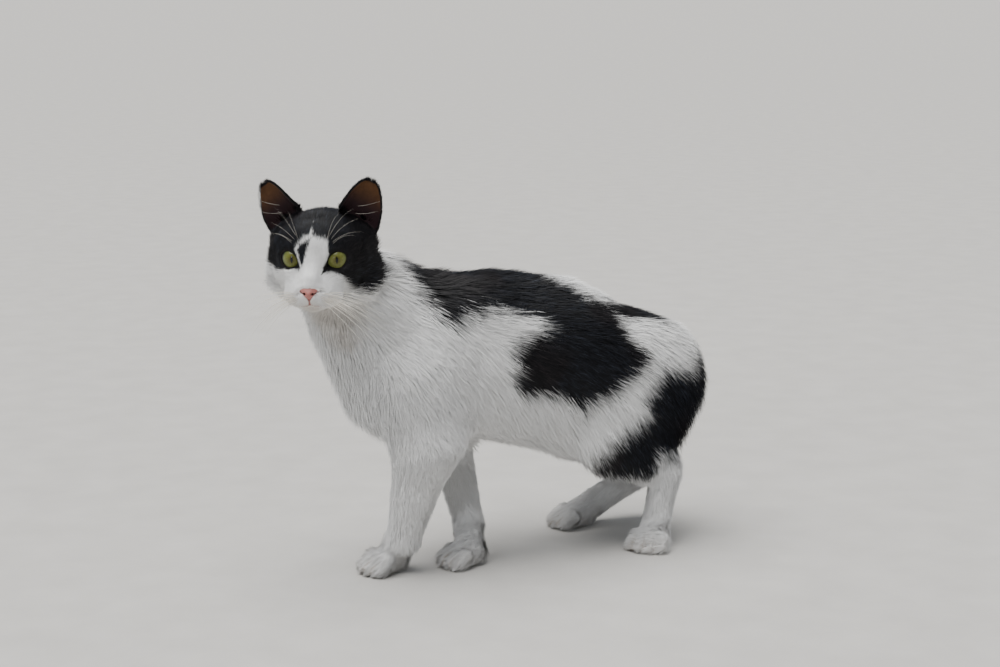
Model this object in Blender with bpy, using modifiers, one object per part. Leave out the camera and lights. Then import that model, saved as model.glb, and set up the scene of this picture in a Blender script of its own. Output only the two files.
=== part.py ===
"""A life-size Manx cat, standing with its head turned to one side: the solids of a still model.

Metres, +Z up. The cat faces -X, its left side is towards -Y, and its paws stand on Z = 0.
The flesh is one soft form made of tapered, rounded lobes that melt into each other. It is built as a
mesh from hulls of spheres, remeshed, drawn onto the melted form, thinned, and parted by thin straight
cuts into the nodes that a person would name. Eyes, ears, nose leather and whiskers are added to it.
"""

import math

import bmesh
import bpy
import numpy as np
from mathutils import Euler, Matrix, Vector

GAP = 0.0003
SIDES = {"left": 1.0, "right": -1.0}

BODY_VOXEL = 0.0035
HEAD_VOXEL = 0.0013
NOSE_VOXEL = 0.0007
BODY_TRIANGLES = 4300
HEAD_TRIANGLES = 4300
NOSE_TRIANGLES = 300

# The head's own frame: x out of the face, y to the cat's left, z up, from the middle of the skull
HEAD_PLACE = Vector((-0.213, -0.030, 0.283))
HEAD_TURN = math.radians(55.7)
HEAD_NOD = math.radians(5.0)

EYE_RADIUS = 0.0108
EYE_PLACE = Vector((0.0222, 0.0163, 0.0002))
EYE_OUTWARD = math.radians(14.0)
EYE_OPEN_WIDTH = 0.0172
EYE_OPEN_HEIGHT = 0.0128
EYE_SLANT = math.radians(23.0)
LID = 0.0011

EAR_INNER_BASE = Vector((0.004, 0.0160, 0.0370))
EAR_OUTER_BASE = Vector((-0.013, 0.0424, 0.0110))
EAR_TIPS = {"left": Vector((-0.010, 0.0410, 0.0580)), "right": Vector((-0.010, 0.0480, 0.0548))}
EAR_CUP = 0.0135
EAR_THICKNESS = 0.0018
EAR_ROOT = 0.30
EAR_BLUNT = 0.972
EAR_ROUND = 0.82
EAR_SOCKET = Vector((-0.008, 0.022, 0.010))

MOUTH_DROP = 0.0308
MOUTH_HALF_WIDTH = 0.0188
MOUTH_LINE = 0.0009
NOSTRIL = 0.0011

WHISKER_ROOT = 0.00034
WHISKER_TIP = 0.00010
WHISKER_ROWS = ((0.0, 0.052, 3), (0.5, 0.060, 2), (1.0, 0.055, 2))

COAT_BLACK = (0.012, 0.012, 0.014)
COAT_WHITE = (0.72, 0.72, 0.70)
NOSE_PINK = (0.55, 0.24, 0.22)
EYE_GREEN = (0.42, 0.46, 0.08)
EAR_DARK = (0.05, 0.03, 0.03)


class Lobe:
    """A rounded, tapered length of flesh from start to end.

    A flat below 1 thins it along the direction across, and blend is how widely it melts into the rest.
    """

    def __init__(self, start, end, r_start, r_end, flat=1.0, across=(0, 1, 0), blend=0.012):
        self.start = Vector(start)
        self.end = Vector(end)
        self.r_start = r_start
        self.r_end = r_end
        self.flat = flat
        self.across = Vector(across).normalized()
        self.blend = blend

    def moved(self, matrix):
        """The same lobe, taken by matrix into another frame."""
        across = matrix.to_3x3() @ self.across
        start = matrix @ self.start
        end = matrix @ self.end
        return Lobe(start, end, self.r_start, self.r_end, self.flat, across, self.blend)

    def depth(self, points):
        """How far each point lies outside the lobe, below zero inside it."""
        across = np.array(self.across)
        start = np.array(self.start)
        stretch = 1.0 / self.flat - 1.0
        local = points - start
        local = local + np.outer(local @ across, across) * stretch
        axis = np.array(self.end) - start
        axis = axis + across * (axis @ across) * stretch
        length = max(float(axis @ axis), 1e-12)
        along = np.clip(local @ axis / length, 0.0, 1.0)
        away = np.linalg.norm(local - np.outer(along, axis), axis=1)
        return (away - (self.r_start + along * (self.r_end - self.r_start))) * math.sqrt(self.flat)

    def hull(self, mesh, grow=0.0, around=14):
        """Adds the lobe to a bmesh as the hull of rings of points on its two end balls."""
        corners = []
        for centre, radius in ((self.start, self.r_start), (self.end, self.r_end)):
            for ring in range(1, around // 2):
                polar = math.pi * ring / (around // 2)
                for step in range(around):
                    turn = math.tau * (step + 0.5 * (ring % 2)) / around
                    spot = Vector((math.cos(turn), math.sin(turn), 0)) * math.sin(polar)
                    spot.z = math.cos(polar)
                    spot *= radius + grow
                    spot -= self.across * self.across.dot(spot) * (1.0 - self.flat)
                    corners.append(mesh.verts.new(centre + spot))
        result = bmesh.ops.convex_hull(mesh, input=corners)
        spare = [v for v in result["geom_interior"] if isinstance(v, bmesh.types.BMVert)]
        bmesh.ops.delete(mesh, geom=spare, context="VERTS")


class Flesh:
    """The melted form of many lobes."""

    def __init__(self, lobes):
        self.lobes = list(lobes)

    def depth(self, points):
        """How far each point lies outside the form. Creases between lobes are rounded by their blend."""
        total = self.lobes[0].depth(points)
        for lobe in self.lobes[1:]:
            other = lobe.depth(points)
            overlap = np.maximum(lobe.blend - np.abs(total - other), 0.0) / lobe.blend
            total = np.minimum(total, other) - overlap**2 * lobe.blend / 4
        return total

    def slope(self, points, step=2e-4):
        """The direction in which depth grows at each point, and how fast it does."""
        ahead = [self.depth(points + step * side) for side in np.eye(3)]
        behind = [self.depth(points - step * side) for side in np.eye(3)]
        return (np.stack(ahead, 1) - np.stack(behind, 1)) / (2 * step)


class Block:
    """A box in the cat's frame, turned by three angles in degrees, that a node of flesh is cut out by."""

    def __init__(self, low, high, pivot=(0, 0, 0), turn=(0, 0, 0)):
        self.low = Vector(low)
        self.high = Vector(high)
        self.pivot = Vector(pivot)
        self.turn = Euler([math.radians(angle) for angle in turn])

    def solid(self, grow=0.0):
        """The box as an object, a little larger all round by grow."""
        mesh = bmesh.new()
        size = self.high - self.low + Vector((grow, grow, grow)) * 2
        bmesh.ops.create_cube(mesh, size=1.0, matrix=Matrix.Diagonal(size).to_4x4())
        bmesh.ops.translate(mesh, verts=mesh.verts, vec=(self.high + self.low) / 2)
        bmesh.ops.rotate(mesh, verts=mesh.verts, cent=(0, 0, 0), matrix=self.turn.to_matrix())
        bmesh.ops.translate(mesh, verts=mesh.verts, vec=self.pivot)
        return object_from(mesh, "block")


def object_from(mesh, name):
    """Wraps a bmesh as a new object in the scene, and frees the bmesh."""
    data = bpy.data.meshes.new(name)
    mesh.to_mesh(data)
    mesh.free()
    made = bpy.data.objects.new(name, data)
    bpy.context.scene.collection.objects.link(made)
    return made


def discard(made):
    """Removes an object and its mesh or curve."""
    data = made.data
    bpy.data.objects.remove(made)
    if data.users == 0 and isinstance(data, bpy.types.Mesh):
        bpy.data.meshes.remove(data)
    elif data.users == 0:
        bpy.data.curves.remove(data)


def copied(made, name, inflate=0.0):
    """A copy of an object, with its surface moved out by inflate."""
    mesh = bmesh.new()
    mesh.from_mesh(made.data)
    mesh.normal_update()
    for vert in mesh.verts:
        vert.co += vert.normal * inflate
    return object_from(mesh, name)


def applied(made):
    """Replaces an object's mesh by what its modifiers make of it."""
    bpy.context.view_layer.update()
    graph = bpy.context.evaluated_depsgraph_get()
    done = bpy.data.meshes.new_from_object(made.evaluated_get(graph))
    old = made.data
    made.modifiers.clear()
    made.data = done
    bpy.data.meshes.remove(old)
    return made


def largest_shell(made):
    """Keeps only the largest closed surface of an object, with its faces as triangles facing out."""
    mesh = bmesh.new()
    mesh.from_mesh(made.data)
    bmesh.ops.remove_doubles(mesh, verts=mesh.verts, dist=1e-6)
    bmesh.ops.triangulate(mesh, faces=mesh.faces)
    left = set(mesh.faces)
    shells = []
    while left:
        shell = set()
        front = [left.pop()]
        while front:
            face = front.pop()
            shell.add(face)
            for edge in face.edges:
                for near in edge.link_faces:
                    if near in left:
                        left.remove(near)
                        front.append(near)
        shells.append(shell)
    shells.sort(key=lambda shell: sum(face.calc_area() for face in shell))
    spare = [face for shell in shells[:-1] for face in shell]
    bmesh.ops.delete(mesh, geom=spare, context="FACES")
    bmesh.ops.recalc_face_normals(mesh, faces=mesh.faces)
    mesh.to_mesh(made.data)
    mesh.free()
    return made


def combined(made, other, operation, keep_other=False, solver="EXACT"):
    """Cuts, joins or crosses one closed object with another, and keeps the largest result."""
    boolean = made.modifiers.new("cut", "BOOLEAN")
    boolean.operation = operation
    boolean.solver = solver
    boolean.object = other
    applied(made)
    if not keep_other:
        discard(other)
    return largest_shell(made)


def parted(made, block, name):
    """Takes the flesh inside a block out of an object as a node of its own, with a thin gap between."""
    piece = copied(made, name)
    combined(piece, block.solid(-GAP / 2), "INTERSECT")
    combined(made, block.solid(GAP / 2), "DIFFERENCE")
    return piece


def settled(made, flesh, reach, rounds=4):
    """Draws the vertices of a rough mesh onto the melted form, evening the mesh out on the way.

    Vertices further from it than reach, as on the end of a cropped mesh, stay where they are.
    """
    for turn in range(rounds):
        if turn < rounds - 1:
            work = bmesh.new()
            work.from_mesh(made.data)
            bmesh.ops.smooth_vert(
                work, verts=work.verts, factor=0.5, use_axis_x=True, use_axis_y=True, use_axis_z=True
            )
            work.to_mesh(made.data)
            work.free()
        points = np.empty(len(made.data.vertices) * 3)
        made.data.vertices.foreach_get("co", points)
        points = points.reshape(-1, 3)
        depth = flesh.depth(points)
        near = np.abs(depth) < reach
        slope = flesh.slope(points[near])
        steep = np.maximum((slope**2).sum(1), 0.05)
        points[near] -= slope * (depth[near] / steep)[:, None]
        made.data.vertices.foreach_set("co", points.ravel())
    made.data.update()
    return made


def soft_form(name, lobes, flesh, voxel, triangles, crop=None):
    """One closed mesh of lobes, melted as flesh says, with about the number of triangles given."""
    rough = bmesh.new()
    for lobe in lobes:
        lobe.hull(rough, grow=lobe.blend * 0.08)
    made = object_from(rough, name)
    remesh = made.modifiers.new("even", "REMESH")
    remesh.mode = "VOXEL"
    remesh.voxel_size = voxel
    applied(made)
    reach = 0.02
    if crop is not None:
        reach = 0.006
        combined(made, crop.solid(), "INTERSECT")
    settled(made, flesh, reach)
    thin = made.modifiers.new("thin", "DECIMATE")
    faces = sum(len(face.vertices) - 2 for face in made.data.polygons)
    thin.ratio = min(1.0, triangles / faces)
    applied(made)
    return largest_shell(made)


def trunk_lobes():
    """The trunk from the breast to the rump, the withers and the neck."""
    return [
        Lobe((-0.122, 0, 0.172), (-0.060, 0, 0.180), 0.054, 0.064, flat=0.75),
        Lobe((-0.060, 0, 0.180), (0.010, 0, 0.169), 0.064, 0.0685, flat=0.78, blend=0.024),
        Lobe((0.010, 0, 0.169), (0.050, 0, 0.154), 0.0685, 0.0645, flat=0.78, blend=0.024),
        Lobe((0.050, 0, 0.154), (0.084, 0, 0.151), 0.0645, 0.0525, flat=0.80, blend=0.024),
        Lobe((0.084, 0, 0.151), (0.110, 0, 0.148), 0.0525, 0.044, flat=0.95, blend=0.024),
        Lobe((-0.092, 0, 0.211), (-0.055, 0, 0.215), 0.034, 0.033, flat=0.75, blend=0.02),
        Lobe((-0.112, 0, 0.206), (-0.186, -0.005, 0.256), 0.0445, 0.036, flat=0.88, blend=0.02),
        Lobe((-0.146, 0, 0.172), (-0.174, -0.002, 0.222), 0.041, 0.037, flat=0.90, blend=0.02),
    ]


def foreleg_lobes(side, shoulder, elbow, wrist, paw, upper, lower):
    """A foreleg from its shoulder blade to the heel of its paw, with the girths of its two halves."""
    blade = Vector((-0.088, -side * 0.030, 0.222))
    return [
        Lobe(blade, shoulder, 0.024, 0.027, flat=0.60, blend=0.022),
        Lobe(shoulder, elbow, 0.027, upper, flat=0.76, blend=0.022),
        Lobe(elbow, wrist, upper, lower, flat=0.86, blend=0.012),
        Lobe(wrist, paw, lower, 0.0124, flat=0.95, blend=0.008),
    ]


def hindleg_lobes(side, hip, knee, hock, paw):
    """A hind leg from its hip to the heel of its paw."""
    seat = Vector((0.112, -side * 0.027, 0.132))
    calf = hock.lerp(knee, 0.45) + Vector((0.010, 0, 0.006))
    return [
        Lobe(hip, knee, 0.045, 0.028, flat=0.55, blend=0.024),
        Lobe(seat, calf, 0.036, 0.021, flat=0.60, blend=0.020),
        Lobe(knee, hock, 0.026, 0.0135, flat=0.66, blend=0.014),
        Lobe(hock, paw, 0.0138, 0.0132, flat=0.90, blend=0.008),
    ]


def paw_lobes(paw, heading, width, length):
    """The pad and the four toes of a paw that points along heading, an angle in degrees."""
    forward = Vector((math.cos(math.radians(heading)), math.sin(math.radians(heading)), 0))
    aside = Vector((-forward.y, forward.x, 0))
    flat_pad = paw.copy()
    flat_pad.z = 0.0098
    front = flat_pad + forward * length * 0.34
    lobes = [Lobe(flat_pad, front, 0.0128, 0.0127, flat=0.86, across=(0, 0, 1), blend=0.006)]
    for place, reach in ((-1.5, 0.84), (-0.5, 1.0), (0.5, 1.0), (1.5, 0.84)):
        knuckle = paw + forward * length * 0.38 + aside * place * width * 0.215
        tip = paw + forward * length * 0.80 * reach + aside * place * width * 0.26
        knuckle.z = 0.0112
        tip.z = 0.0056
        lobes.append(Lobe(knuckle, tip, 0.0079, 0.0067, blend=0.0026))
    return lobes


def leg_lobes():
    """The four legs, as they stand in mid stride."""
    paws = {
        ("fore", "left"): Vector((-0.138, 0.002, 0.0118)),
        ("fore", "right"): Vector((-0.070, -0.013, 0.0118)),
        ("hind", "left"): Vector((0.100, -0.042, 0.013)),
        ("hind", "right"): Vector((0.078, 0.050, 0.013)),
    }
    lobes = foreleg_lobes(
        SIDES["left"],
        Vector((-0.128, -0.034, 0.170)),
        Vector((-0.120, -0.032, 0.122)),
        Vector((-0.133, -0.011, 0.034)),
        paws["fore", "left"],
        0.0300,
        0.0145,
    )
    lobes += foreleg_lobes(
        SIDES["right"],
        Vector((-0.112, 0.034, 0.170)),
        Vector((-0.072, 0.034, 0.122)),
        Vector((-0.0645, 0.004, 0.034)),
        paws["fore", "right"],
        0.0225,
        0.0128,
    )
    lobes += hindleg_lobes(
        SIDES["left"],
        Vector((0.106, -0.026, 0.158)),
        Vector((0.052, -0.041, 0.102)),
        Vector((0.109, -0.044, 0.070)),
        paws["hind", "left"],
    )
    lobes += hindleg_lobes(
        SIDES["right"],
        Vector((0.106, 0.026, 0.158)),
        Vector((0.060, 0.046, 0.100)),
        Vector((0.138, 0.048, 0.044)),
        paws["hind", "right"],
    )
    lobes += paw_lobes(paws["fore", "left"], 188.0, 0.034, 0.030)
    lobes += paw_lobes(paws["fore", "right"], 185.0, 0.034, 0.030)
    lobes += paw_lobes(paws["hind", "left"], 220.0, 0.034, 0.032)
    lobes += paw_lobes(paws["hind", "right"], 175.0, 0.034, 0.032)
    return lobes


def head_matrix():
    """From the head's own frame to the cat's."""
    forward = Vector((-math.cos(HEAD_TURN), -math.sin(HEAD_TURN), 0))
    left = Vector((0, 0, 1)).cross(forward)
    turned = Matrix((forward, left, (0, 0, 1))).transposed()
    nod = Matrix.Rotation(HEAD_NOD, 3, "Y")
    return Matrix.Translation(HEAD_PLACE) @ (turned @ nod).to_4x4()


def mirrored(point, side):
    """A point of the cat's left side, or its twin on the other side."""
    return Vector((point.x, point.y * side, point.z))


def head_lobes():
    """The skull, brow, bridge, muzzle, cheeks, lids and chin, in the head's own frame."""
    lobes = [
        Lobe((-0.016, -0.0078, -0.0005), (0.003, -0.0066, 0.0005), 0.0318, 0.0300),
        Lobe((-0.016, 0.0078, -0.0005), (0.003, 0.0066, 0.0005), 0.0318, 0.0300),
        Lobe((-0.036, 0, -0.004), (-0.018, 0, -0.010), 0.0240, 0.0280),
        Lobe((0.006, 0, 0.010), (0.021, 0, 0.004), 0.0230, 0.0150, blend=0.010),
        Lobe((0.022, 0, 0.001), (0.0455, 0, -0.0135), 0.0120, 0.0064, blend=0.008),
        Lobe((0.0450, 0, -0.0150), (0.0482, 0, -0.0205), 0.0064, 0.0046, blend=0.006),
        Lobe((0.014, 0, -0.022), (0.038, 0, -0.0235), 0.0175, 0.0115, blend=0.008),
        Lobe((-0.006, 0, -0.020), (0.024, 0, -0.0290), 0.0200, 0.0110, blend=0.010),
        Lobe((0.022, 0, -0.0300), (0.0385, 0, -0.0330), 0.0100, 0.0062, blend=0.004),
    ]
    for side in SIDES.values():
        lobes += [
            Lobe((0.004, side * 0.0217, -0.006), (-0.007, side * 0.0252, -0.0152), 0.0162, 0.0180),
            Lobe((-0.006, side * 0.0250, -0.0195), (0.010, side * 0.0170, -0.0235), 0.0168, 0.0135),
            Lobe((0.0205, side * 0.0115, 0.0125), (0.0130, side * 0.0240, 0.0085), 0.0090, 0.0085, blend=0.010),
            Lobe((0.0205, side * 0.0220, -0.0125), (0.031, side * 0.0125, -0.0170), 0.0082, 0.0088, blend=0.008),
            Lobe((-0.011, side * 0.0210, 0.0105), (-0.011, side * 0.0284, 0.0085), 0.0130, 0.0115, blend=0.012),
            Lobe((0.0398, side * 0.0074, -0.0255), (0.0330, side * 0.0128, -0.0262), 0.0108, 0.0104, blend=0.004),
        ]
        eye = mirrored(EYE_PLACE, side)
        lobes.append(Lobe(eye, eye, EYE_RADIUS + GAP + LID, EYE_RADIUS + GAP + LID, blend=0.0035))
    return lobes


def nose_lobes():
    """The nose leather: a wide top, two wings round the nostrils, and a narrow foot."""
    lobes = [
        Lobe((0.0500, 0, -0.0197), (0.0514, 0, -0.0218), 0.0034, 0.0036, blend=0.002),
        Lobe((0.0506, 0, -0.0222), (0.0488, 0, -0.0281), 0.0028, 0.0012, blend=0.002),
    ]
    for side in SIDES.values():
        inner = (0.0506, side * 0.0027, -0.0200)
        outer = (0.0486, side * 0.0058, -0.0202)
        lobes.append(Lobe(inner, outer, 0.0029, 0.0021, blend=0.002))
    return lobes


def to_frame(made, matrix):
    """Takes an object's mesh from the head's frame to the cat's."""
    made.data.transform(matrix)
    made.data.update()
    return made


def ball(radius, place, segments=24, rings=14):
    """A ball in the head's frame, with its poles up and down."""
    mesh = bmesh.new()
    bmesh.ops.create_uvsphere(mesh, u_segments=segments, v_segments=rings, radius=radius)
    bmesh.ops.translate(mesh, verts=mesh.verts, vec=place)
    return object_from(mesh, "ball")


def eye_opening(side, segments=28):
    """The almond-shaped way out of an eye's socket, widening a little outwards."""
    mesh = bmesh.new()
    length = EYE_RADIUS * 1.6
    bmesh.ops.create_cone(mesh, cap_ends=True, segments=segments, radius1=0.86, radius2=1.12, depth=length)
    for vert in mesh.verts:
        turn = math.atan2(vert.co.y, vert.co.x)
        size = math.hypot(vert.co.x, vert.co.y)
        almond = 0.62 + 0.38 * abs(math.sin(turn)) ** 0.75
        vert.co.x = size * math.cos(turn) * EYE_OPEN_WIDTH / 2
        vert.co.y = size * math.sin(turn) * almond * EYE_OPEN_HEIGHT / 2
        vert.co.z += length / 2
    out = Vector((math.cos(EYE_OUTWARD), math.sin(EYE_OUTWARD), 0.03)).normalized()
    aside = Vector((0, 0, 1)).cross(out).normalized()
    tilt = Matrix.Rotation(EYE_SLANT, 3, out)
    frame = Matrix((tilt @ aside, tilt @ out.cross(aside), out)).transposed()
    bmesh.ops.transform(mesh, matrix=frame.to_4x4(), verts=mesh.verts)
    bmesh.ops.translate(mesh, verts=mesh.verts, vec=EYE_PLACE)
    if side < 0:
        bmesh.ops.transform(mesh, matrix=Matrix.Diagonal((1, -1, 1, 1)), verts=mesh.verts)
        bmesh.ops.reverse_faces(mesh, faces=mesh.faces)
    return object_from(mesh, "opening")


def ear_point(tip, along, across):
    """A point of an ear's sheet: along runs from base to tip, across from inner to outer edge."""
    base = (EAR_INNER_BASE + EAR_OUTER_BASE) / 2
    slanted = EAR_OUTER_BASE - EAR_INNER_BASE
    half = slanted.length / 2
    up = tip - base
    opening = slanted.cross(up).normalized()
    level = up.cross(opening).normalized()
    rise = max(along, 0.0)
    side = slanted.normalized().lerp(level, rise**0.8).normalized()
    width = half * ((1.0 - EAR_ROUND) * (1.0 - rise) + EAR_ROUND * math.sqrt(1.0 - rise**2))
    curl = math.radians(74.0 - 34.0 * rise)
    angle = across * curl
    sag = (math.cos(angle) - math.cos(curl)) / (1.0 - math.cos(curl))
    depth = EAR_CUP * (1.0 - 0.80 * rise) + 0.0015 * rise
    spot = base + up * along + side * width * math.sin(angle) / math.sin(curl)
    spot -= opening * depth * sag
    spot += opening * 0.004 * math.sin(math.pi * rise) * (1 - rise)
    return spot.lerp(EAR_SOCKET, max(-along, 0.0) * 1.6)


def ear(tip, side, along_steps=12, across_steps=8):
    """An ear as a cupped sheet with a thickness, its root sunk into the head."""
    mesh = bmesh.new()
    bmesh.ops.create_grid(mesh, x_segments=along_steps, y_segments=across_steps, size=1.0)
    for vert in mesh.verts:
        along = (vert.co.x + 1) / 2 * (EAR_BLUNT + EAR_ROOT) - EAR_ROOT
        vert.co = mirrored(ear_point(tip, along, vert.co.y), side)
    if side < 0:
        bmesh.ops.reverse_faces(mesh, faces=mesh.faces)
    bmesh.ops.remove_doubles(mesh, verts=mesh.verts, dist=0.0002)
    made = object_from(mesh, "ear")
    shell = made.modifiers.new("shell", "SOLIDIFY")
    shell.thickness = EAR_THICKNESS
    shell.offset = 0.0
    return largest_shell(applied(made))


def surface_point(made, place, towards):
    """Where a straight line from place along towards first meets an object's mesh."""
    hit, spot, _normal, _face = made.ray_cast(place, towards)
    return spot if hit else None


def tube(points, radii, name="tube", resolution=0):
    """A round tube through points, with a radius at each, as a closed mesh. Resolution adds sides to it."""
    curve = bpy.data.curves.new(name, "CURVE")
    curve.dimensions = "3D"
    curve.bevel_depth = 1.0
    curve.bevel_resolution = resolution
    curve.use_fill_caps = True
    line = curve.splines.new("POLY")
    line.points.add(len(points) - 1)
    for knot, point, radius in zip(line.points, points, radii):
        knot.co = (*point, 1.0)
        knot.radius = radius
    drawn = bpy.data.objects.new(name, curve)
    bpy.context.scene.collection.objects.link(drawn)
    bpy.context.view_layer.update()
    graph = bpy.context.evaluated_depsgraph_get()
    data = bpy.data.meshes.new_from_object(drawn.evaluated_get(graph))
    discard(drawn)
    mesh = bmesh.new()
    mesh.from_mesh(data)
    bpy.data.meshes.remove(data)
    bmesh.ops.remove_doubles(mesh, verts=mesh.verts, dist=1e-6)
    bmesh.ops.recalc_face_normals(mesh, faces=mesh.faces)
    return object_from(mesh, name)


def mouth_lines(face):
    """The groove under the nose and the line of the mouth, as tubes that lie half in the face.

    face is an object in the head's frame. Each line is drawn on it from straight ahead.
    """
    paths = [[(0.0, -0.0275 - 0.0010 * step) for step in range(5)]]
    for side in SIDES.values():
        path = []
        for step in range(15):
            part = step / 14
            aside = MOUTH_HALF_WIDTH * part
            drop = MOUTH_DROP + 0.0026 * math.sin(math.pi * part**0.8) - 0.0020 * part**3
            path.append((side * aside, -drop))
        paths.append(path)
    lines = []
    for path in paths:
        spots = []
        for aside, height in path:
            spot = surface_point(face, Vector((0.09, aside, height)), Vector((-1, 0, 0)))
            if spot is not None:
                spots.append(spot)
        lines.append(tube(spots, [MOUTH_LINE] * len(spots), "line"))
    return lines


def nostrils():
    """Two short, bent holes that open forwards and outwards in the nose leather."""
    holes = []
    for side in SIDES.values():
        points = [
            (0.0560, side * 0.0026, -0.0214),
            (0.0528, side * 0.0031, -0.0216),
            (0.0511, side * 0.0038, -0.0215),
            (0.0506, side * 0.0050, -0.0212),
            (0.0502, side * 0.0061, -0.0208),
        ]
        radii = [NOSTRIL, NOSTRIL, NOSTRIL * 0.85, NOSTRIL * 0.6, NOSTRIL * 0.4]
        holes.append(tube(points, radii, "nostril", resolution=2))
    return holes


def whisker_path(side, row, place, length, steps=6):
    """A whisker that leaves its pad sideways and forwards, then bends down and back."""
    root = Vector((0.0400 - 0.0070 * place, side * (0.0080 + 0.0075 * place), -0.0235 - 0.0050 * row))
    out = Vector((0.42 - 0.62 * place, side * (0.90 + 0.10 * place), 0.06 - 0.56 * row))
    out.normalize()
    sweep = Vector((-0.34, 0, -0.40))
    points = []
    for step in range(steps):
        part = step / (steps - 1)
        points.append(root + out * length * part + sweep * length * part**2)
    return points


def whiskers():
    """The long whiskers of both pads, in the head's frame."""
    made = []
    for side in SIDES.values():
        for row, length, count in WHISKER_ROWS:
            for index in range(count):
                place = (index + 0.5) / count
                path = whisker_path(side, row, place, length * (1.0 - 0.12 * (index % 2)))
                radii = [
                    WHISKER_ROOT + (WHISKER_TIP - WHISKER_ROOT) * step / (len(path) - 1)
                    for step in range(len(path))
                ]
                made.append(tube(path, radii, "whisker"))
    return made


def material(name, colour, roughness):
    """A plain Principled material."""
    made = bpy.data.materials.new(name)
    made.use_nodes = True
    made.diffuse_color = (*colour, 1.0)
    shader = made.node_tree.nodes["Principled BSDF"]
    shader.inputs["Base Color"].default_value = (*colour, 1.0)
    shader.inputs["Roughness"].default_value = roughness
    shader.inputs["Metallic"].default_value = 0.0
    return made


def named(made, name, colour, roughness=0.8):
    """Gives a finished node its name and its own material."""
    made.name = name
    made.data.name = name
    made.data.materials.clear()
    made.data.materials.append(material(name, colour, roughness))
    return made


def head_parts(flesh, head, neck):
    """The nodes of the head, and the block by which it is cut from the neck."""
    to_cat = head_matrix()
    to_head = to_cat.inverted()
    form = soft_form("head", head + neck, flesh, HEAD_VOXEL, HEAD_TRIANGLES, HEAD_CROP)
    combined(form, HEAD_BLOCK.solid(-GAP / 2), "INTERSECT")
    to_frame(form, to_head)
    shadow = copied(form, "shadow", GAP)

    nose = soft_form("nose", nose_lobes(), Flesh(nose_lobes()), NOSE_VOXEL, NOSE_TRIANGLES)
    seat = copied(nose, "seat", GAP)
    combined(form, seat, "DIFFERENCE")
    for hole in nostrils():
        combined(nose, hole, "DIFFERENCE")
    nodes = {"nose_leather": (nose, NOSE_PINK, 0.45)}

    for name, side in SIDES.items():
        sheet = combined(ear(EAR_TIPS[name], side), shadow, "DIFFERENCE", keep_other=True, solver="MANIFOLD")
        nodes["ear_" + name] = (sheet, EAR_DARK, 0.8)
    discard(shadow)

    for name, side in SIDES.items():
        place = mirrored(EYE_PLACE, side)
        socket = combined(ball(EYE_RADIUS + GAP, place), eye_opening(side), "UNION")
        combined(form, socket, "DIFFERENCE")
        nodes["eye_" + name] = (ball(EYE_RADIUS, place), EYE_GREEN, 0.1)
    for line in mouth_lines(form):
        combined(form, line, "DIFFERENCE")

    muzzle = copied(form, "muzzle")
    combined(muzzle, MUZZLE_BLOCK.solid(-GAP / 2), "INTERSECT")
    combined(form, MUZZLE_BLOCK.solid(GAP / 2), "DIFFERENCE")
    for whisker in whiskers():
        combined(muzzle, whisker, "UNION")
    nodes["muzzle"] = (muzzle, COAT_WHITE, 0.8)
    nodes["head"] = (form, COAT_BLACK, 0.8)
    for name, (made, colour, roughness) in nodes.items():
        named(to_frame(made, to_cat), name, colour, roughness)
    return [made for made, _colour, _roughness in nodes.values()]


HEAD_BLOCK = Block((-0.2, -0.2, 0.0), (0.2, 0.2, 0.3), pivot=(-0.176, -0.006, 0.250), turn=(22.0, -52.0, 0.0))
HEAD_CROP = Block((-0.2, -0.2, -0.012), (0.2, 0.2, 0.3), pivot=(-0.176, -0.006, 0.250), turn=(22.0, -52.0, 0.0))
MUZZLE_BLOCK = Block((-0.1, -0.1, 0.0), (0.1, 0.1, 0.1), pivot=(0.0335, 0, -0.0110), turn=(0.0, 118.0, 0.0))

BODY_BLOCKS = {
    "forepaw_left": (Block((-0.20, -0.05, -0.05), (-0.104, 0.05, 0.0270)), COAT_WHITE),
    "forepaw_right": (Block((-0.104, -0.05, -0.05), (-0.03, 0.05, 0.0270)), COAT_WHITE),
    "hindpaw_left": (Block((-0.06, -0.05, -0.05), (0.04, 0.05, 0.0), pivot=(0.104, -0.043, 0.0270)), COAT_WHITE),
    "hindpaw_right": (
        Block((-0.06, -0.05, -0.07), (0.05, 0.05, 0.0), pivot=(0.083, 0.05, 0.0250), turn=(0, 38, 0)),
        COAT_WHITE,
    ),
    "forearm_left": (Block((-0.20, -0.10, -0.01), (-0.086, 0.010, 0.112)), COAT_WHITE),
    "forearm_right": (Block((-0.112, -0.05, -0.01), (-0.045, 0.09, 0.104)), COAT_WHITE),
    "upper_arm_left": (Block((-0.170, -0.10, 0.05), (-0.070, -0.027, 0.205)), COAT_WHITE),
    "upper_arm_right": (Block((-0.150, 0.027, 0.05), (-0.045, 0.10, 0.205)), COAT_BLACK),
    "shank_left": (Block((0.00, -0.11, -0.04), (0.18, -0.0215, 0.082)), COAT_WHITE),
    "shank_right": (Block((0.00, 0.0215, -0.04), (0.22, 0.11, 0.080)), COAT_WHITE),
    "thigh_left": (Block((0.020, -0.10, 0.05), (0.20, -0.025, 0.185)), COAT_BLACK),
    "thigh_right": (Block((0.020, 0.025, 0.05), (0.20, 0.10, 0.185)), COAT_BLACK),
    "neck": (Block((-0.1, -0.1, 0.0), (0.1, 0.1, 0.2), pivot=(-0.122, 0, 0.200), turn=(0.0, -56.0, 0.0)), COAT_WHITE),
    "chest": (Block((-0.30, -0.1, 0.0), (-0.050, 0.1, 0.3)), COAT_WHITE),
    "rump": (Block((0.075, -0.1, 0.0), (0.30, 0.1, 0.3)), COAT_BLACK),
}


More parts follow.
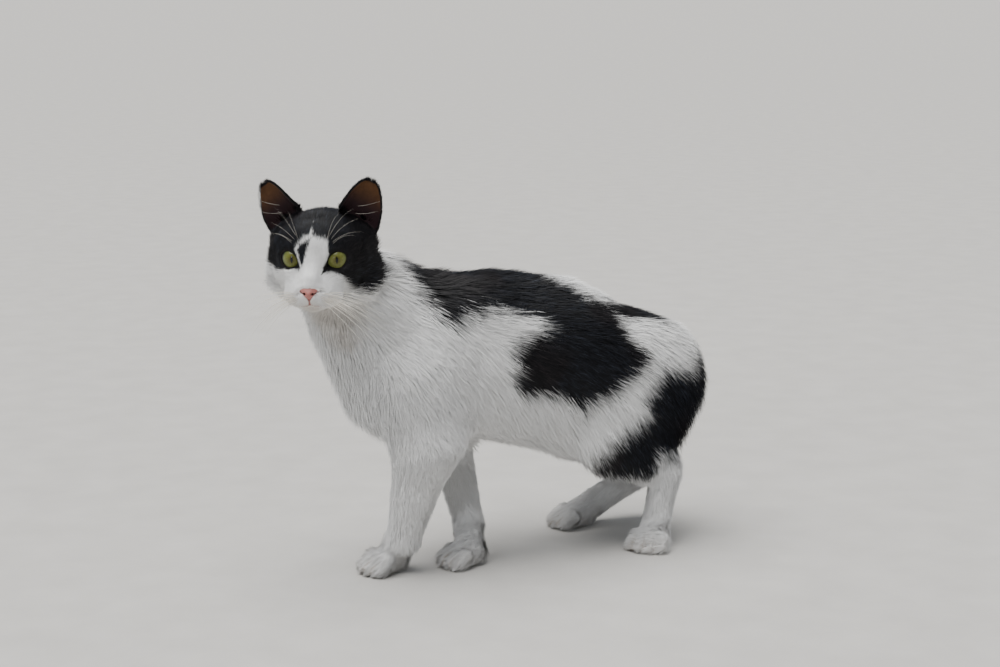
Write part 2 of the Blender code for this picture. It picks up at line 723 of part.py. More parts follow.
def body_parts(flesh, everything):
    """The nodes of the neck, trunk and legs, cut from one form, with flats under the paws."""
    form = soft_form("torso", everything, flesh, BODY_VOXEL, BODY_TRIANGLES)
    combined(form, HEAD_BLOCK.solid(GAP / 2), "DIFFERENCE")
    floor = Block((-0.5, -0.5, -0.1), (0.5, 0.5, 0.0))
    combined(form, floor.solid(), "DIFFERENCE")
    nodes = []
    for name, (block, colour) in BODY_BLOCKS.items():
        nodes.append(named(parted(form, block, name), name, colour))
    nodes.append(named(form, "torso", COAT_BLACK))
    return nodes


def main():
    """Builds the cat, with its origin on the floor under the middle of its box."""
    for old in list(bpy.data.objects):
        bpy.data.objects.remove(old)
    to_cat = head_matrix()
    head = [lobe.moved(to_cat) for lobe in head_lobes()]
    trunk = trunk_lobes()
    everything = trunk + leg_lobes() + head
    flesh = Flesh(everything)
    nodes = head_parts(flesh, head, trunk[-2:]) + body_parts(flesh, everything)

    corners = np.array([vert.co for made in nodes for vert in made.data.vertices])
    middle = (corners.min(0) + corners.max(0)) / 2
    home = bpy.data.collections.new("manx_cat")
    bpy.context.scene.collection.children.link(home)
    for made in nodes:
        made.data.transform(Matrix.Translation((-middle[0], -middle[1], 0)))
        bpy.context.scene.collection.objects.unlink(made)
        home.objects.link(made)
        made.data.shade_smooth()


if __name__ == "__main__":
    main()
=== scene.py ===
"""The looks of a black and white Manx cat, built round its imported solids.

One skin stands for all the flesh. Tufts of solid fur grow from it along the lie of the coat. The eyes,
their lids, the nose leather and the whiskers are pieces of their own.
"""
import logging
import math
from dataclasses import dataclass, field
from enum import Enum
from typing import Callable, Optional, Sequence, Union

import bmesh
import bpy
import numpy as np
from mathutils import Matrix, Vector, noise
from mathutils.bvhtree import BVHTree
from mathutils.kdtree import KDTree


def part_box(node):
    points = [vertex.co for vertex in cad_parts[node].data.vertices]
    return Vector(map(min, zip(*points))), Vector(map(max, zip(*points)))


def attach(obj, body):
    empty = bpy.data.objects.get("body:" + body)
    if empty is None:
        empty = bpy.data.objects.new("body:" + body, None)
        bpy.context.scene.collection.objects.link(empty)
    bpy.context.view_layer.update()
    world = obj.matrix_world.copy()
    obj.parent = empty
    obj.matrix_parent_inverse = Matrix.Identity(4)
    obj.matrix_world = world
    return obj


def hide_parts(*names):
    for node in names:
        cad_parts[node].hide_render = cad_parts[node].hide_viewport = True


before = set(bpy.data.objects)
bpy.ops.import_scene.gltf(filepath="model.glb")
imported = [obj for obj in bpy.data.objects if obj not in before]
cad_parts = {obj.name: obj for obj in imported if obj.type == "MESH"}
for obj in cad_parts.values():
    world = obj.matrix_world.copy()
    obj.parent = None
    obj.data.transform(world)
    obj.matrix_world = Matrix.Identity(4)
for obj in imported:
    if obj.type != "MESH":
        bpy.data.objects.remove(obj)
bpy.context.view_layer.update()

BODY = "root"
MM = 0.001
LOG = logging.getLogger("manx_cat")

Array = np.ndarray
Colour = tuple[float, float, float]
Number = Union[float, "Term"]


class Side(Enum):
    """The cat's own two sides, as the sign of y in the head's frame."""

    LEFT = 1.0
    RIGHT = -1.0

    @property
    def word(self) -> str:
        """The side's name in a piece's name."""
        return self.name.lower()


class CoatPart(Enum):
    """The stretches that the coat is divided into, each a piece of its own."""

    FACE = "coat_face"
    CROWN = "coat_crown"
    EARS = "coat_ears"
    NECK = "coat_neck"
    CHEST = "coat_chest"
    BACK = "coat_back"
    FLANK_LEFT = "coat_flank_left"
    FLANK_RIGHT = "coat_flank_right"
    BELLY = "coat_belly"
    RUMP = "coat_rump"
    HAUNCH_LEFT = "coat_haunch_left"
    HAUNCH_RIGHT = "coat_haunch_right"
    FORELEG_LEFT = "coat_foreleg_left"
    FORELEG_RIGHT = "coat_foreleg_right"
    HINDLEG_LEFT = "coat_hindleg_left"
    HINDLEG_RIGHT = "coat_hindleg_right"
    FOREPAWS = "coat_forepaws"
    HINDPAWS = "coat_hindpaws"


@dataclass(frozen=True)
class HeadFrame:
    """The head's own frame: x out of the face, y to the cat's left, z up."""

    turn: float = math.radians(55.7)
    nod: float = math.radians(5.0)
    place: tuple[float, float, float] = (-0.213, -0.030, 0.283)
    eye: tuple[float, float, float] = (0.0222, 0.0163, 0.0002)

    def turned(self) -> Matrix:
        """The head's turn and nod, as a 3x3 matrix."""
        forward = Vector((-math.cos(self.turn), -math.sin(self.turn), 0))
        left = Vector((0, 0, 1)).cross(forward)
        level = Matrix((forward, left, (0, 0, 1))).transposed()
        return level @ Matrix.Rotation(self.nod, 3, "Y")

    def shift(self) -> Vector:
        """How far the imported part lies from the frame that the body's places are given in."""
        low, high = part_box("eye_left")
        drawn = Vector(self.place) + self.turned() @ Vector(self.eye)
        moved = (low + high) / 2 - drawn
        return Vector((moved.x, moved.y, 0))

    def matrix(self) -> Matrix:
        """From the head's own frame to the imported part's."""
        return Matrix.Translation(Vector(self.place) + self.shift()) @ self.turned().to_4x4()


HEAD = HeadFrame()
SHIFT = np.array(HEAD.shift())
TO_SCENE = HEAD.matrix()
TO_HEAD = TO_SCENE.inverted()


def headwards(points: Array) -> Array:
    """Scene points in the head's own frame."""
    turn = np.array(TO_HEAD.to_3x3())
    return points @ turn.T + np.array(TO_HEAD.translation)


def from_head(points: Array) -> Array:
    """Points of the head's own frame in the scene."""
    turn = np.array(TO_SCENE.to_3x3())
    return points @ turn.T + np.array(TO_SCENE.translation)


def unit(vectors: Array) -> Array:
    """Vectors brought to length one."""
    return vectors / np.maximum(np.linalg.norm(vectors, axis=-1, keepdims=True), 1e-12)


def eased(low: float, high: float, values: Array) -> Array:
    """A smooth step from 0 at low to 1 at high."""
    part = np.clip((values - low) / (high - low), 0, 1)
    return part * part * (3 - 2 * part)


def waves(points: Array, size: float, seed: float = 0.0) -> Array:
    """Smooth noise from -1 to 1 at points, in waves of about the size given."""
    spots = points / size + seed
    return np.array([noise.noise(spot) for spot in spots.tolist()])


def from_segment(points: Array, start: Array, end: Array) -> Array:
    """How far points lie from the straight stretch between start and end."""
    along = end - start
    part = np.clip((points - start) @ along / max(float(along @ along), 1e-12), 0, 1)
    return np.linalg.norm(points - start - part[:, None] * along, axis=1)


def linked(mesh: bpy.types.Mesh, name: str,
           material: Optional[bpy.types.Material] = None) -> bpy.types.Object:
    """An object of the scene that shows a mesh."""
    mesh.name = name
    piece = bpy.data.objects.new(name, mesh)
    bpy.context.scene.collection.objects.link(piece)
    if material is not None:
        mesh.materials.clear()
        mesh.materials.append(material)
    return piece


def mesh_of(shape: bmesh.types.BMesh, name: str) -> bpy.types.Mesh:
    """A finished bmesh as a smooth mesh."""
    mesh = bpy.data.meshes.new(name)
    for face in shape.faces:
        face.smooth = True
    shape.to_mesh(mesh)
    shape.free()
    return mesh


def joined(shapes: Sequence[bmesh.types.BMesh], name: str) -> bpy.types.Mesh:
    """Several finished bmeshes as one smooth mesh."""
    whole = bmesh.new()
    for shape in shapes:
        part = mesh_of(shape, name)
        whole.from_mesh(part)
        bpy.data.meshes.remove(part)
    return mesh_of(whole, name)


def bent_grid(across: int, along: int, place: Callable[[float, float], Vector]) -> bmesh.types.BMesh:
    """A closed shape bent from a grid.

    Args:
        across: The number of steps the first way.
        along: The number of steps the second way.
        place: Where a point goes, by how far it lies along both ways, from 0 to 1.

    Returns:
        The shape, with its doubles merged and its faces turned outwards.
    """
    shape = bmesh.new()
    bmesh.ops.create_grid(shape, x_segments=across, y_segments=along, size=0.5)
    for vert in shape.verts:
        vert.co = place(vert.co.x + 0.5, vert.co.y + 0.5)
    bmesh.ops.remove_doubles(shape, verts=shape.verts, dist=1e-6)
    bmesh.ops.recalc_face_normals(shape, faces=shape.faces)
    return shape


def merged_solid(node: str) -> bmesh.types.BMesh:
    """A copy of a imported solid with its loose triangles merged."""
    shape = bmesh.new()
    shape.from_mesh(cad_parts[node].data)
    bmesh.ops.remove_doubles(shape, verts=shape.verts, dist=1e-5)
    return shape


def evaluated(piece: bpy.types.Object) -> bmesh.types.BMesh:
    """What a piece's modifiers make of it. The piece itself is used up."""
    graph = bpy.context.evaluated_depsgraph_get()
    made = bpy.data.meshes.new_from_object(piece.evaluated_get(graph))
    bpy.data.objects.remove(piece)
    shape = bmesh.new()
    shape.from_mesh(made)
    bpy.data.meshes.remove(made)
    return shape


def one_surface(piece: bpy.types.Object, voxel: float) -> bmesh.types.BMesh:
    """A piece's overlapping shells as one fine surface. The piece itself is used up."""
    remesh = piece.modifiers.new("one_surface", "REMESH")
    remesh.mode = "VOXEL"
    remesh.voxel_size = voxel
    return evaluated(piece)


def smoothed(shape: bmesh.types.BMesh, times: int) -> None:
    """Evens a shape out."""
    for _ in range(times):
        bmesh.ops.smooth_vert(shape, verts=shape.verts, factor=0.5, use_axis_x=True, use_axis_y=True,
                              use_axis_z=True)


def spots_of(mesh: bpy.types.Mesh) -> Array:
    """A mesh's vertices as an array."""
    spots = np.empty(len(mesh.vertices) * 3, np.float32)
    mesh.vertices.foreach_get("co", spots)
    return spots.reshape(-1, 3).astype(float)


def normals_of(mesh: bpy.types.Mesh) -> Array:
    """A mesh's vertex normals as an array."""
    normals = np.empty(len(mesh.vertices) * 3, np.float32)
    mesh.vertex_normals.foreach_get("vector", normals)
    return normals.reshape(-1, 3).astype(float)


def put_spots(mesh: bpy.types.Mesh, spots: Array) -> None:
    """Moves a mesh's vertices to the places given."""
    mesh.vertices.foreach_set("co", spots.astype(np.float32).ravel())
    mesh.update()


def put_values(mesh: bpy.types.Mesh, name: str, values: Array) -> None:
    """Keeps one number for each vertex of a mesh under a name that materials read."""
    layer = mesh.attributes.new(name, "FLOAT", "POINT")
    layer.data.foreach_set("value", values.astype(np.float32))


class Term:
    """A shader value that can be added, multiplied and so on, each step a Math node."""

    def __init__(self, look: "Look", socket: bpy.types.NodeSocket) -> None:
        """Holds one output socket of a look's nodes."""
        self.look = look
        self.socket = socket

    def _math(self, operation: str, *values: Number) -> "Term":
        """A Math node with this many values."""
        inputs = dict(enumerate(values))
        return self.look.node("ShaderNodeMath", {"operation": operation}, inputs)

    def __add__(self, other: Number) -> "Term":
        """The sum of two values."""
        return self._math("ADD", self, other)

    __radd__ = __add__

    def __mul__(self, other: Number) -> "Term":
        """The product of two values."""
        return self._math("MULTIPLY", self, other)

    __rmul__ = __mul__

    def __sub__(self, other: Number) -> "Term":
        """This value less another."""
        return self._math("SUBTRACT", self, other)

    def __rsub__(self, other: Number) -> "Term":
        """Another value less this one."""
        return self._math("SUBTRACT", other, self)

    def __truediv__(self, other: Number) -> "Term":
        """This value divided by another."""
        return self._math("DIVIDE", self, other)

    def __pow__(self, other: Number) -> "Term":
        """This value raised to a power."""
        return self._math("POWER", self, other)

    def step(self, low: float, high: float) -> "Term":
        """A smooth step from 0 at low to 1 at high."""
        settings = {"interpolation_type": "SMOOTHSTEP"}
        inputs = {"Value": self, "From Min": low, "From Max": high}
        return self.look.node("ShaderNodeMapRange", settings, inputs)

    def size(self) -> "Term":
        """This value without its sign."""
        return self._math("ABSOLUTE", self)


class Look:
    """A material and its nodes."""

    def __init__(self, name: str) -> None:
        """Starts an empty material with its output."""
        self.material = bpy.data.materials.new(name)
        self.material.use_nodes = True
        self.tree = self.material.node_tree
        self.tree.nodes.clear()
        self.output = self.tree.nodes.new("ShaderNodeOutputMaterial")

    def node(self, kind: str, settings: dict, inputs: dict, output: Union[int, str] = 0) -> Term:
        """Adds one node.

        Args:
            kind: The node's type.
            settings: Properties that are set before its sockets are filled.
            inputs: Values or terms for its sockets, by name or number.
            output: The output socket that is handed back.

        Returns:
            The chosen output as a term.
        """
        made = self.tree.nodes.new(kind)
        for key, value in settings.items():
            setattr(made, key, value)
        for key, value in inputs.items():
            socket = made.inputs[key]
            if isinstance(value, Term):
                self.tree.links.new(value.socket, socket)
            else:
                socket.default_value = value
        return Term(self, made.outputs[output])

    def ramp(self, factor: Term, stops: Sequence[tuple[float, Colour]]) -> Term:
        """A colour ramp over a value."""
        made = self.node("ShaderNodeValToRGB", {}, {"Fac": factor})
        band = made.socket.node.color_ramp
        while len(band.elements) < len(stops):
            band.elements.new(1.0)
        for element, (place, colour) in zip(band.elements, stops):
            element.position = place
            element.color = (*colour, 1.0)
        return made

    def attribute(self, name: str) -> Term:
        """A number kept on the mesh."""
        return self.node("ShaderNodeAttribute", {"attribute_name": name}, {}, "Fac")

    def place(self) -> Term:
        """The place on the object."""
        return self.node("ShaderNodeTexCoord", {}, {}, "Object")

    def offset(self, centre: Vector) -> Term:
        """The way from a fixed point to the place on the object."""
        inputs = {0: self.place(), 1: tuple(centre)}
        return self.node("ShaderNodeVectorMath", {"operation": "SUBTRACT"}, inputs)

    def dot(self, vector: Term, way: Vector) -> Term:
        """How far a vector reaches along a fixed direction."""
        settings = {"operation": "DOT_PRODUCT"}
        return self.node("ShaderNodeVectorMath", settings, {0: vector, 1: tuple(way)}, "Value")

    def grain_at(self, spot: Sequence[Term], scale: float, detail: float = 2.0) -> Term:
        """Noise from 0 to 1 at a spot of three values."""
        vector = self.node("ShaderNodeCombineXYZ", {}, dict(enumerate(spot)))
        return self.node("ShaderNodeTexNoise", {}, {"Vector": vector, "Scale": scale, "Detail": detail})

    def speckle(self, size: float, detail: float = 2.0, stretch: Optional[Sequence[float]] = None) -> Term:
        """Noise from 0 to 1 in grains of about the size given, which may be stretched along the axes."""
        spot = self.place()
        if stretch is not None:
            spot = self.node("ShaderNodeMapping", {}, {"Vector": spot, "Scale": tuple(stretch)})
        return self.node("ShaderNodeTexNoise", {}, {"Vector": spot, "Scale": 1 / size, "Detail": detail})

    def mixed(self, factor: Number, first: Union[Term, Colour], second: Union[Term, Colour]) -> Term:
        """Two colours mixed."""
        inputs = {0: factor, 6: first, 7: second}
        for key in (6, 7):
            if not isinstance(inputs[key], Term):
                inputs[key] = (*inputs[key], 1.0)
        return self.node("ShaderNodeMix", {"data_type": "RGBA"}, inputs, 2)

    def scaled(self, colour: Term, factor: Term) -> Term:
        """A colour made lighter or darker by a value."""
        return self.node("ShaderNodeVectorMath", {"operation": "SCALE"}, {0: colour, "Scale": factor})

    def bump(self, height: Term, distance: float, strength: float = 1.0) -> Term:
        """A normal that follows a height."""
        inputs = {"Height": height, "Distance": distance, "Strength": strength}
        return self.node("ShaderNodeBump", {}, inputs)

    def finish(self, **sockets: object) -> bpy.types.Material:
        """Closes the look with a Principled shader.

        Args:
            sockets: Values or terms for its sockets, with underscores for spaces.

        Returns:
            The finished material.
        """
        inputs = {key.replace("_", " "): value for key, value in sockets.items()}
        shader = self.node("ShaderNodeBsdfPrincipled", {}, inputs)
        self.tree.links.new(shader.socket, self.output.inputs["Surface"])
        return self.material


@dataclass(frozen=True)
class CoatColours:
    """The colours of white and black fur, of the skin under them and of bare skin."""

    white: Colour = (0.93, 0.93, 0.925)
    # White fur a little darker at its roots than at its tips: painted shade deep in the coat, between the
    # tufts.
    white_root_shaded: Colour = (0.90, 0.895, 0.885)
    # Warm brown that white fur is mixed towards: painted shade on the chin, the throat, round the lips and
    # between the toes, and paws darker and warmer towards the floor.
    stain_and_shade: Colour = (0.36, 0.27, 0.175)
    black: Colour = (0.0040, 0.0040, 0.0052)
    # The lighter tips of a few black tufts are painted highlights along the hairs: bluish painted sheen in
    # some places, a brownish tone in others.
    black_tip: Colour = (0.042, 0.049, 0.068)
    black_tip_brown: Colour = (0.042, 0.033, 0.036)
    # The bare inside of an ear: near-black low in the cup, which is painted shade, and warm brown higher
    # up, partly the skin's own brown and partly a painted glow of light through the ear.
    hollow: Colour = (0.020, 0.010, 0.012)
    ear_glow: Colour = (0.085, 0.040, 0.018)
    lip: Colour = (0.26, 0.115, 0.10)
    rim: Colour = (0.0045, 0.0038, 0.0040)

    def _fur(self, look: Look) -> Term:
        """The colour of black and white fur, from the numbers kept on the mesh."""
        chance = look.attribute("chance")
        along = look.attribute("along")
        broad = look.speckle(0.030)
        # White fur darkens from tip to root: painted shade between the tufts.
        white = look.mixed(along.step(0.0, 0.6), self.white_root_shaded, self.white)
        white = look.scaled(white, chance * 0.13 + broad * 0.06 + 0.84)
        # Painted shade on the chin, throat, lips and toes, and a warmer, darker tone low on the paws.
        white = look.mixed(look.attribute("stain_and_shade"), white, self.stain_and_shade)
        # A few black tufts lighten towards their tips: painted highlights, bluish painted sheen in some
        # places and a brownish tone in others.
        tip = look.mixed(look.speckle(0.055, 1.0).step(0.42, 0.58), self.black_tip, self.black_tip_brown)
        dark = look.mixed(along.step(0.15, 1.0) * chance ** 3.0, self.black, tip)
        return look.mixed(look.attribute("black"), white, dark)

    def fur(self) -> bpy.types.Material:
        """The finish of the tufts."""
        look = Look("fur")
        rough = 0.62 - look.attribute("black") * 0.14
        return look.finish(Base_Color=self._fur(look), Roughness=rough, Specular_IOR_Level=0.18)

    def skin(self) -> bpy.types.Material:
        """The finish of the skin: short fur, the bare hollows of the ears, the lips and the lids' edge."""
        look = Look("skin")
        fine = look.speckle(0.0006, 3.0)
        vein = look.speckle(0.004, 3.0)
        # Inside the ear: painted shade low in the cup, and higher up the skin's brown with a painted glow
        # of light through the ear.
        inner = look.mixed(look.attribute("glow").step(0.30, 0.85), self.hollow, self.ear_glow)
        inner = look.scaled(inner, vein * 0.7 + 0.65)
        colour = look.mixed(look.attribute("bare"), self._fur(look), inner)
        colour = look.mixed(look.attribute("lip"), colour, self.lip)
        colour = look.mixed(look.attribute("rim"), colour, self.rim)
        rough = 0.66 - look.attribute("rim") * 0.2
        return look.finish(Base_Color=colour, Roughness=rough, Normal=look.bump(fine, 0.0004, 0.6),
                           Specular_IOR_Level=0.12)


@dataclass(frozen=True)
class BareColours:
    """The finishes of the nose leather, the lids' rims and the long hairs."""

    nose: Colour = (0.42, 0.155, 0.135)
    nose_foot: Colour = (0.27, 0.070, 0.055)
    # Near-black inside the nostrils and along their slits: painted shade in the openings.
    nostril: Colour = (0.035, 0.008, 0.008)
    rim: Colour = (0.0045, 0.0035, 0.0035)
    rim_worn: Colour = (0.014, 0.010, 0.010)
    corner: Colour = (0.085, 0.032, 0.032)
    hair: Colour = (0.80, 0.76, 0.68)
    hair_root: Colour = (0.62, 0.57, 0.50)

    def leather(self) -> bpy.types.Material:
        """Damp, pebbled pink leather, redder at its foot, and near-black in the nostrils and their slits:
        painted shade in the openings.
        """
        look = Look("nose_leather_finish")
        pebbles = look.speckle(0.00055, 1.0)
        broad = look.speckle(0.003, 2.0)
        colour = look.mixed(look.attribute("foot"), self.nose, self.nose_foot)
        colour = look.scaled(colour, pebbles * 0.35 + broad * 0.35 + 0.65)
        # Painted shade inside the nostrils and along their slits.
        colour = look.mixed(look.attribute("deep"), colour, self.nostril)
        return look.finish(Base_Color=colour, Roughness=0.46 - pebbles * 0.1, Specular_IOR_Level=0.5,
                           Normal=look.bump(pebbles, 0.00025, 0.7), Subsurface_Weight=0.08,
                           Subsurface_Radius=(0.002, 0.0008, 0.0005))

    def lid(self) -> bpy.types.Material:
        """The dark, slightly damp rim of a lid, with a little red in the inner corner."""
        look = Look("lid_rim")
        worn = look.speckle(0.0012, 3.0)
        colour = look.mixed(worn.step(0.35, 0.75), self.rim, self.rim_worn)
        colour = look.mixed(look.attribute("corner"), colour, self.corner)
        return look.finish(Base_Color=colour, Roughness=0.58, Specular_IOR_Level=0.15,
                           Normal=look.bump(worn, 0.0001, 0.5))

    def whisker(self) -> bpy.types.Material:
        """Stiff cream-white hair, a little darker at the root."""
        look = Look("whisker")
        grain = look.speckle(0.002, 2.0)
        colour = look.mixed(look.attribute("along").step(0.0, 0.35), self.hair_root, self.hair)
        colour = look.scaled(colour, grain * 0.2 + 0.9)
        return look.finish(Base_Color=colour, Roughness=0.34, Specular_IOR_Level=0.5)


@dataclass(frozen=True)
class Outline:
    """A patch of the coat, as a closed outline of a few points in millimetres."""

    points: Sequence[tuple[float, float]]

    def inside(self, across: Array, up: Array) -> Array:
        """How deep places lie inside the outline in millimetres, less than zero outside it."""
        nearest = np.full(len(across), np.inf)
        within = np.zeros(len(across), bool)
        corners = np.array(self.points, float)
        for (x0, y0), (x1, y1) in zip(corners, np.roll(corners, -1, axis=0)):
            run, rise = x1 - x0, y1 - y0
            part = np.clip(((across - x0) * run + (up - y0) * rise) / (run * run + rise * rise), 0, 1)
            gap = np.hypot(across - x0 - part * run, up - y0 - part * rise)
            nearest = np.minimum(nearest, gap)
            crossed = (y0 > up) != (y1 > up)
            with np.errstate(divide="ignore", invalid="ignore"):
                within ^= crossed & (across < run * (up - y0) / (rise if rise else 1e-9) + x0)
        return np.where(within, nearest, -nearest)


@dataclass(frozen=True)
class Markings:
    """Where the coat is black. The rest of it is white."""

    axis_height: float = 165.0
    per_degree: float = 0.9
    cap_back: float = -37.0
    cap_half_width: float = 51.0
    chin_level: float = -45.0
    saddle: Outline = Outline((
        (-137, 92), (-137, 80), (-131, 72), (-123, 65), (-113, 55), (-102, 46), (-91, 50), (-80, 52),
        (-67, 54), (-49, 55), (-36, 54), (-20, 51), (-12, 44), (-28, 40), (-44, 33), (-51, 27),
        (-45, 16), (-51, 5), (-44, -8), (-36, -21), (-21, -17), (-1, -20), (13, -30), (21, -33),
        (26, -27), (36, -24), (51, -21), (62, -12), (78, -4), (89, 8), (85, 16), (72, 28), (67, 41),
        (66, 54), (86, 50), (116, 46), (126, 62), (126, 96), (116, 120), (98, 140), (84, 162), (70, 186),
        (48, 206), (18, 212), (-8, 200), (-30, 184), (-34, 160), (-46, 140), (-66, 130), (-92, 134),
        (-112, 128), (-126, 112),
    ))
    spine_streak: Outline = Outline((
        (12, 92), (18, 76), (28, 69), (40, 66), (54, 67), (68, 75), (82, 92), (66, 108), (40, 110),
        (22, 102),
    ))
    thigh: Outline = Outline((
        (166, 188), (148, 183), (142, 170), (130, 157), (102, 162), (89, 150), (78, 136), (83, 125),
        (74, 118), (50, 107), (35, 92), (36, 76), (58, 68), (86, 64), (94, 74), (96, 84), (113, 78),
        (126, 84), (134, 104), (150, 124),
    ))
    far_thigh: Outline = Outline((
        (158, 150), (126, 150), (104, 142), (96, 122), (74, 108), (60, 92), (72, 80), (104, 84),
        (126, 92), (146, 122),
    ))
    white_face: Outline = Outline((
        (-1.6, 25.0), (0.2, 19.6), (5.6, 18.6), (11.7, 16.5), (13.4, 7.1), (11.6, 0.5), (8.8, -3.6),
        (9.3, -8.0), (15.2, -7.6), (22.9, -11.7), (25.3, -16.1), (28.2, -22.5), (36.0, -29.1),
        (42.1, -28.8), (47.0, -24.5), (90.0, -22.0), (90.0, -400.0), (-90.0, -400.0), (-90.0, -7.0),
        (-38.5, -7.1), (-35.7, -7.8), (-30.5, -10.2), (-28.5, -8.6), (-9.2, -5.0), (-9.0, -2.1),
        (-10.4, 0.8), (-12.4, 6.4), (-14.3, 9.6), (-11.7, 13.4), (-6.7, 18.6), (-2.4, 21.0),
    ))
    face_streak: Outline = Outline((
        (-1.0, 17.6), (-4.8, 17.2), (-9.6, 13.6), (-11.5, 9.6), (-10.6, 5.0), (-9.0, 0.6), (-7.6, -3.2),
        (-5.6, 0.2), (-4.2, 7.4), (-2.6, 12.6),
    ))

    def depth_in_black(self, spots: Array) -> Array:
        """How far inside the black places lie, in metres, less than zero where the coat is white."""
        head = headwards(spots) / MM
        body = (spots - SHIFT) / MM
        wobble = waves(spots, 0.009, 3.0)
        fine = waves(spots, 0.0035, 11.0)
        round_body = np.degrees(np.arctan2(body[:, 2] - self.axis_height, -body[:, 1]))
        round_body = np.where(round_body < -90, round_body + 360, round_body) * self.per_degree
        flat = [Outline([(x, y * self.per_degree) for x, y in patch.points])
                for patch in (self.saddle, self.spine_streak)]
        saddle = np.minimum(flat[0].inside(body[:, 0], round_body), -flat[1].inside(body[:, 0], round_body))
        left = np.minimum(self.thigh.inside(body[:, 0], body[:, 2]), -body[:, 1] - 14)
        right = np.minimum(self.far_thigh.inside(body[:, 0], body[:, 2]), body[:, 1] - 16)
        trunk = np.maximum(saddle, np.maximum(left, right)) + wobble * 2.6 + fine * 1.3
        cap = np.minimum(head[:, 0] - self.cap_back + wobble * 3, self.cap_half_width - np.abs(head[:, 1]))
        white = np.minimum(self.white_face.inside(head[:, 1], head[:, 2]),
                           -self.face_streak.inside(head[:, 1], head[:, 2]))
        face = np.minimum(cap, -white + wobble * 0.5 + fine * 0.4)
        near_head = head[:, 0] > self.cap_back - 12
        under_chin = np.where(head[:, 2] < self.chin_level, trunk, -9)
        return np.where(near_head, np.maximum(face, under_chin), trunk) * MM

    def shaded_and_stained(self, spots: Array) -> Array:
        """How far white fur is darkened and warmed: painted shade between the toes, round the lips, on the
        chin and the throat, and darker and warmer towards the floor on the paws.
        """
        head = headwards(spots) / MM
        blotches = 0.5 + 0.5 * waves(spots, 0.012, 21.0)
        # Painted shade under the chin and down the throat.
        chin = eased(-27, -37, head[:, 2]) * (head[:, 0] > -10) * (1 - eased(14, 34, np.abs(head[:, 1])))
        chin *= 1 - eased(-70, -120, head[:, 2])
        # Darker and warmer towards the floor on the paws.
        paws = 1 - eased(0.004, 0.022, spots[:, 2])
        # Painted shade round the lips, under the nose.
        lips = (1 - eased(2, 11, np.hypot(head[:, 1] * 0.7, head[:, 2] + 35))) * (head[:, 0] > 15)
        found = np.maximum(chin * (0.22 + 0.20 * blotches), paws * (0.04 + 0.20 * blotches))
        found = np.maximum(found, lips * 0.42)
        # Painted shade in the lines between the toes.
        return np.maximum(found, PAWS.crease(spots) * 0.85)


@dataclass(frozen=True)
class Paws:
    """The lines between the toes. Each paw is given by its heel, its heading and its length, in mm."""

    heels: Sequence[tuple[tuple[float, float], float, float]] = (
        ((-138, 2), 188.0, 30.0), ((-70, -13), 185.0, 30.0),
        ((100, -42), 220.0, 32.0), ((78, 50), 175.0, 32.0),
    )
    lines: Sequence[tuple[int, float]] = ((-1, 0.75), (0, 1.0), (1, 0.75))
    width: float = 34.0
    top: float = 20.0
    depth: float = 0.0014

    def crease(self, spots: Array) -> Array:
        """How far places lie in a line between two toes, from 0 to 1."""
        body = (spots - SHIFT) / MM
        found = np.zeros(len(spots))
        for heel, heading, length in self.heels:
            angle = math.radians(heading)
            run, across = body[:, 0] - heel[0], body[:, 1] - heel[1]
            ahead = (run * math.cos(angle) + across * math.sin(angle)) / length
            aside = across * math.cos(angle) - run * math.sin(angle)
            spread = self.width * (0.215 + 0.107 * (ahead - 0.38))
            reached = eased(0.50, 0.78, ahead) * (ahead < 1.3) * (body[:, 2] < self.top)
            for place, share in self.lines:
                near = 1 - eased(0.3, 1.8, np.abs(aside - place * spread))
                found = np.maximum(found, share * near * reached)
        return found


PAWS = Paws()


@dataclass(frozen=True)
class Lie:
    """How the coat lies round one stretch of the body. Places and lengths are in millimetres."""

    part: CoatPart
    start: tuple[float, float, float]
    end: tuple[float, float, float]
    towards: tuple[float, float, float]
    length: float
    lift: float
    depth: float
    round: float = 8.0
    in_head: bool = False


def both_sides(part: Union[CoatPart, tuple[CoatPart, CoatPart]], start: tuple, end: tuple, towards: tuple,
               *values: float, in_head: bool = False) -> list[Lie]:
    """The same stretch on both sides of the body or head, given on the side where y is above zero."""
    parts = part if isinstance(part, tuple) else (part, part)
    made = []
    for sign, name in zip((1, -1), parts):
        ends = [(place[0], sign * place[1], place[2]) for place in (start, end, towards)]
        made.append(Lie(name, ends[0], ends[1], ends[2], *values, in_head=in_head))
    return made


FLANKS = (CoatPart.FLANK_RIGHT, CoatPart.FLANK_LEFT)
HAUNCHES = (CoatPart.HAUNCH_RIGHT, CoatPart.HAUNCH_LEFT)

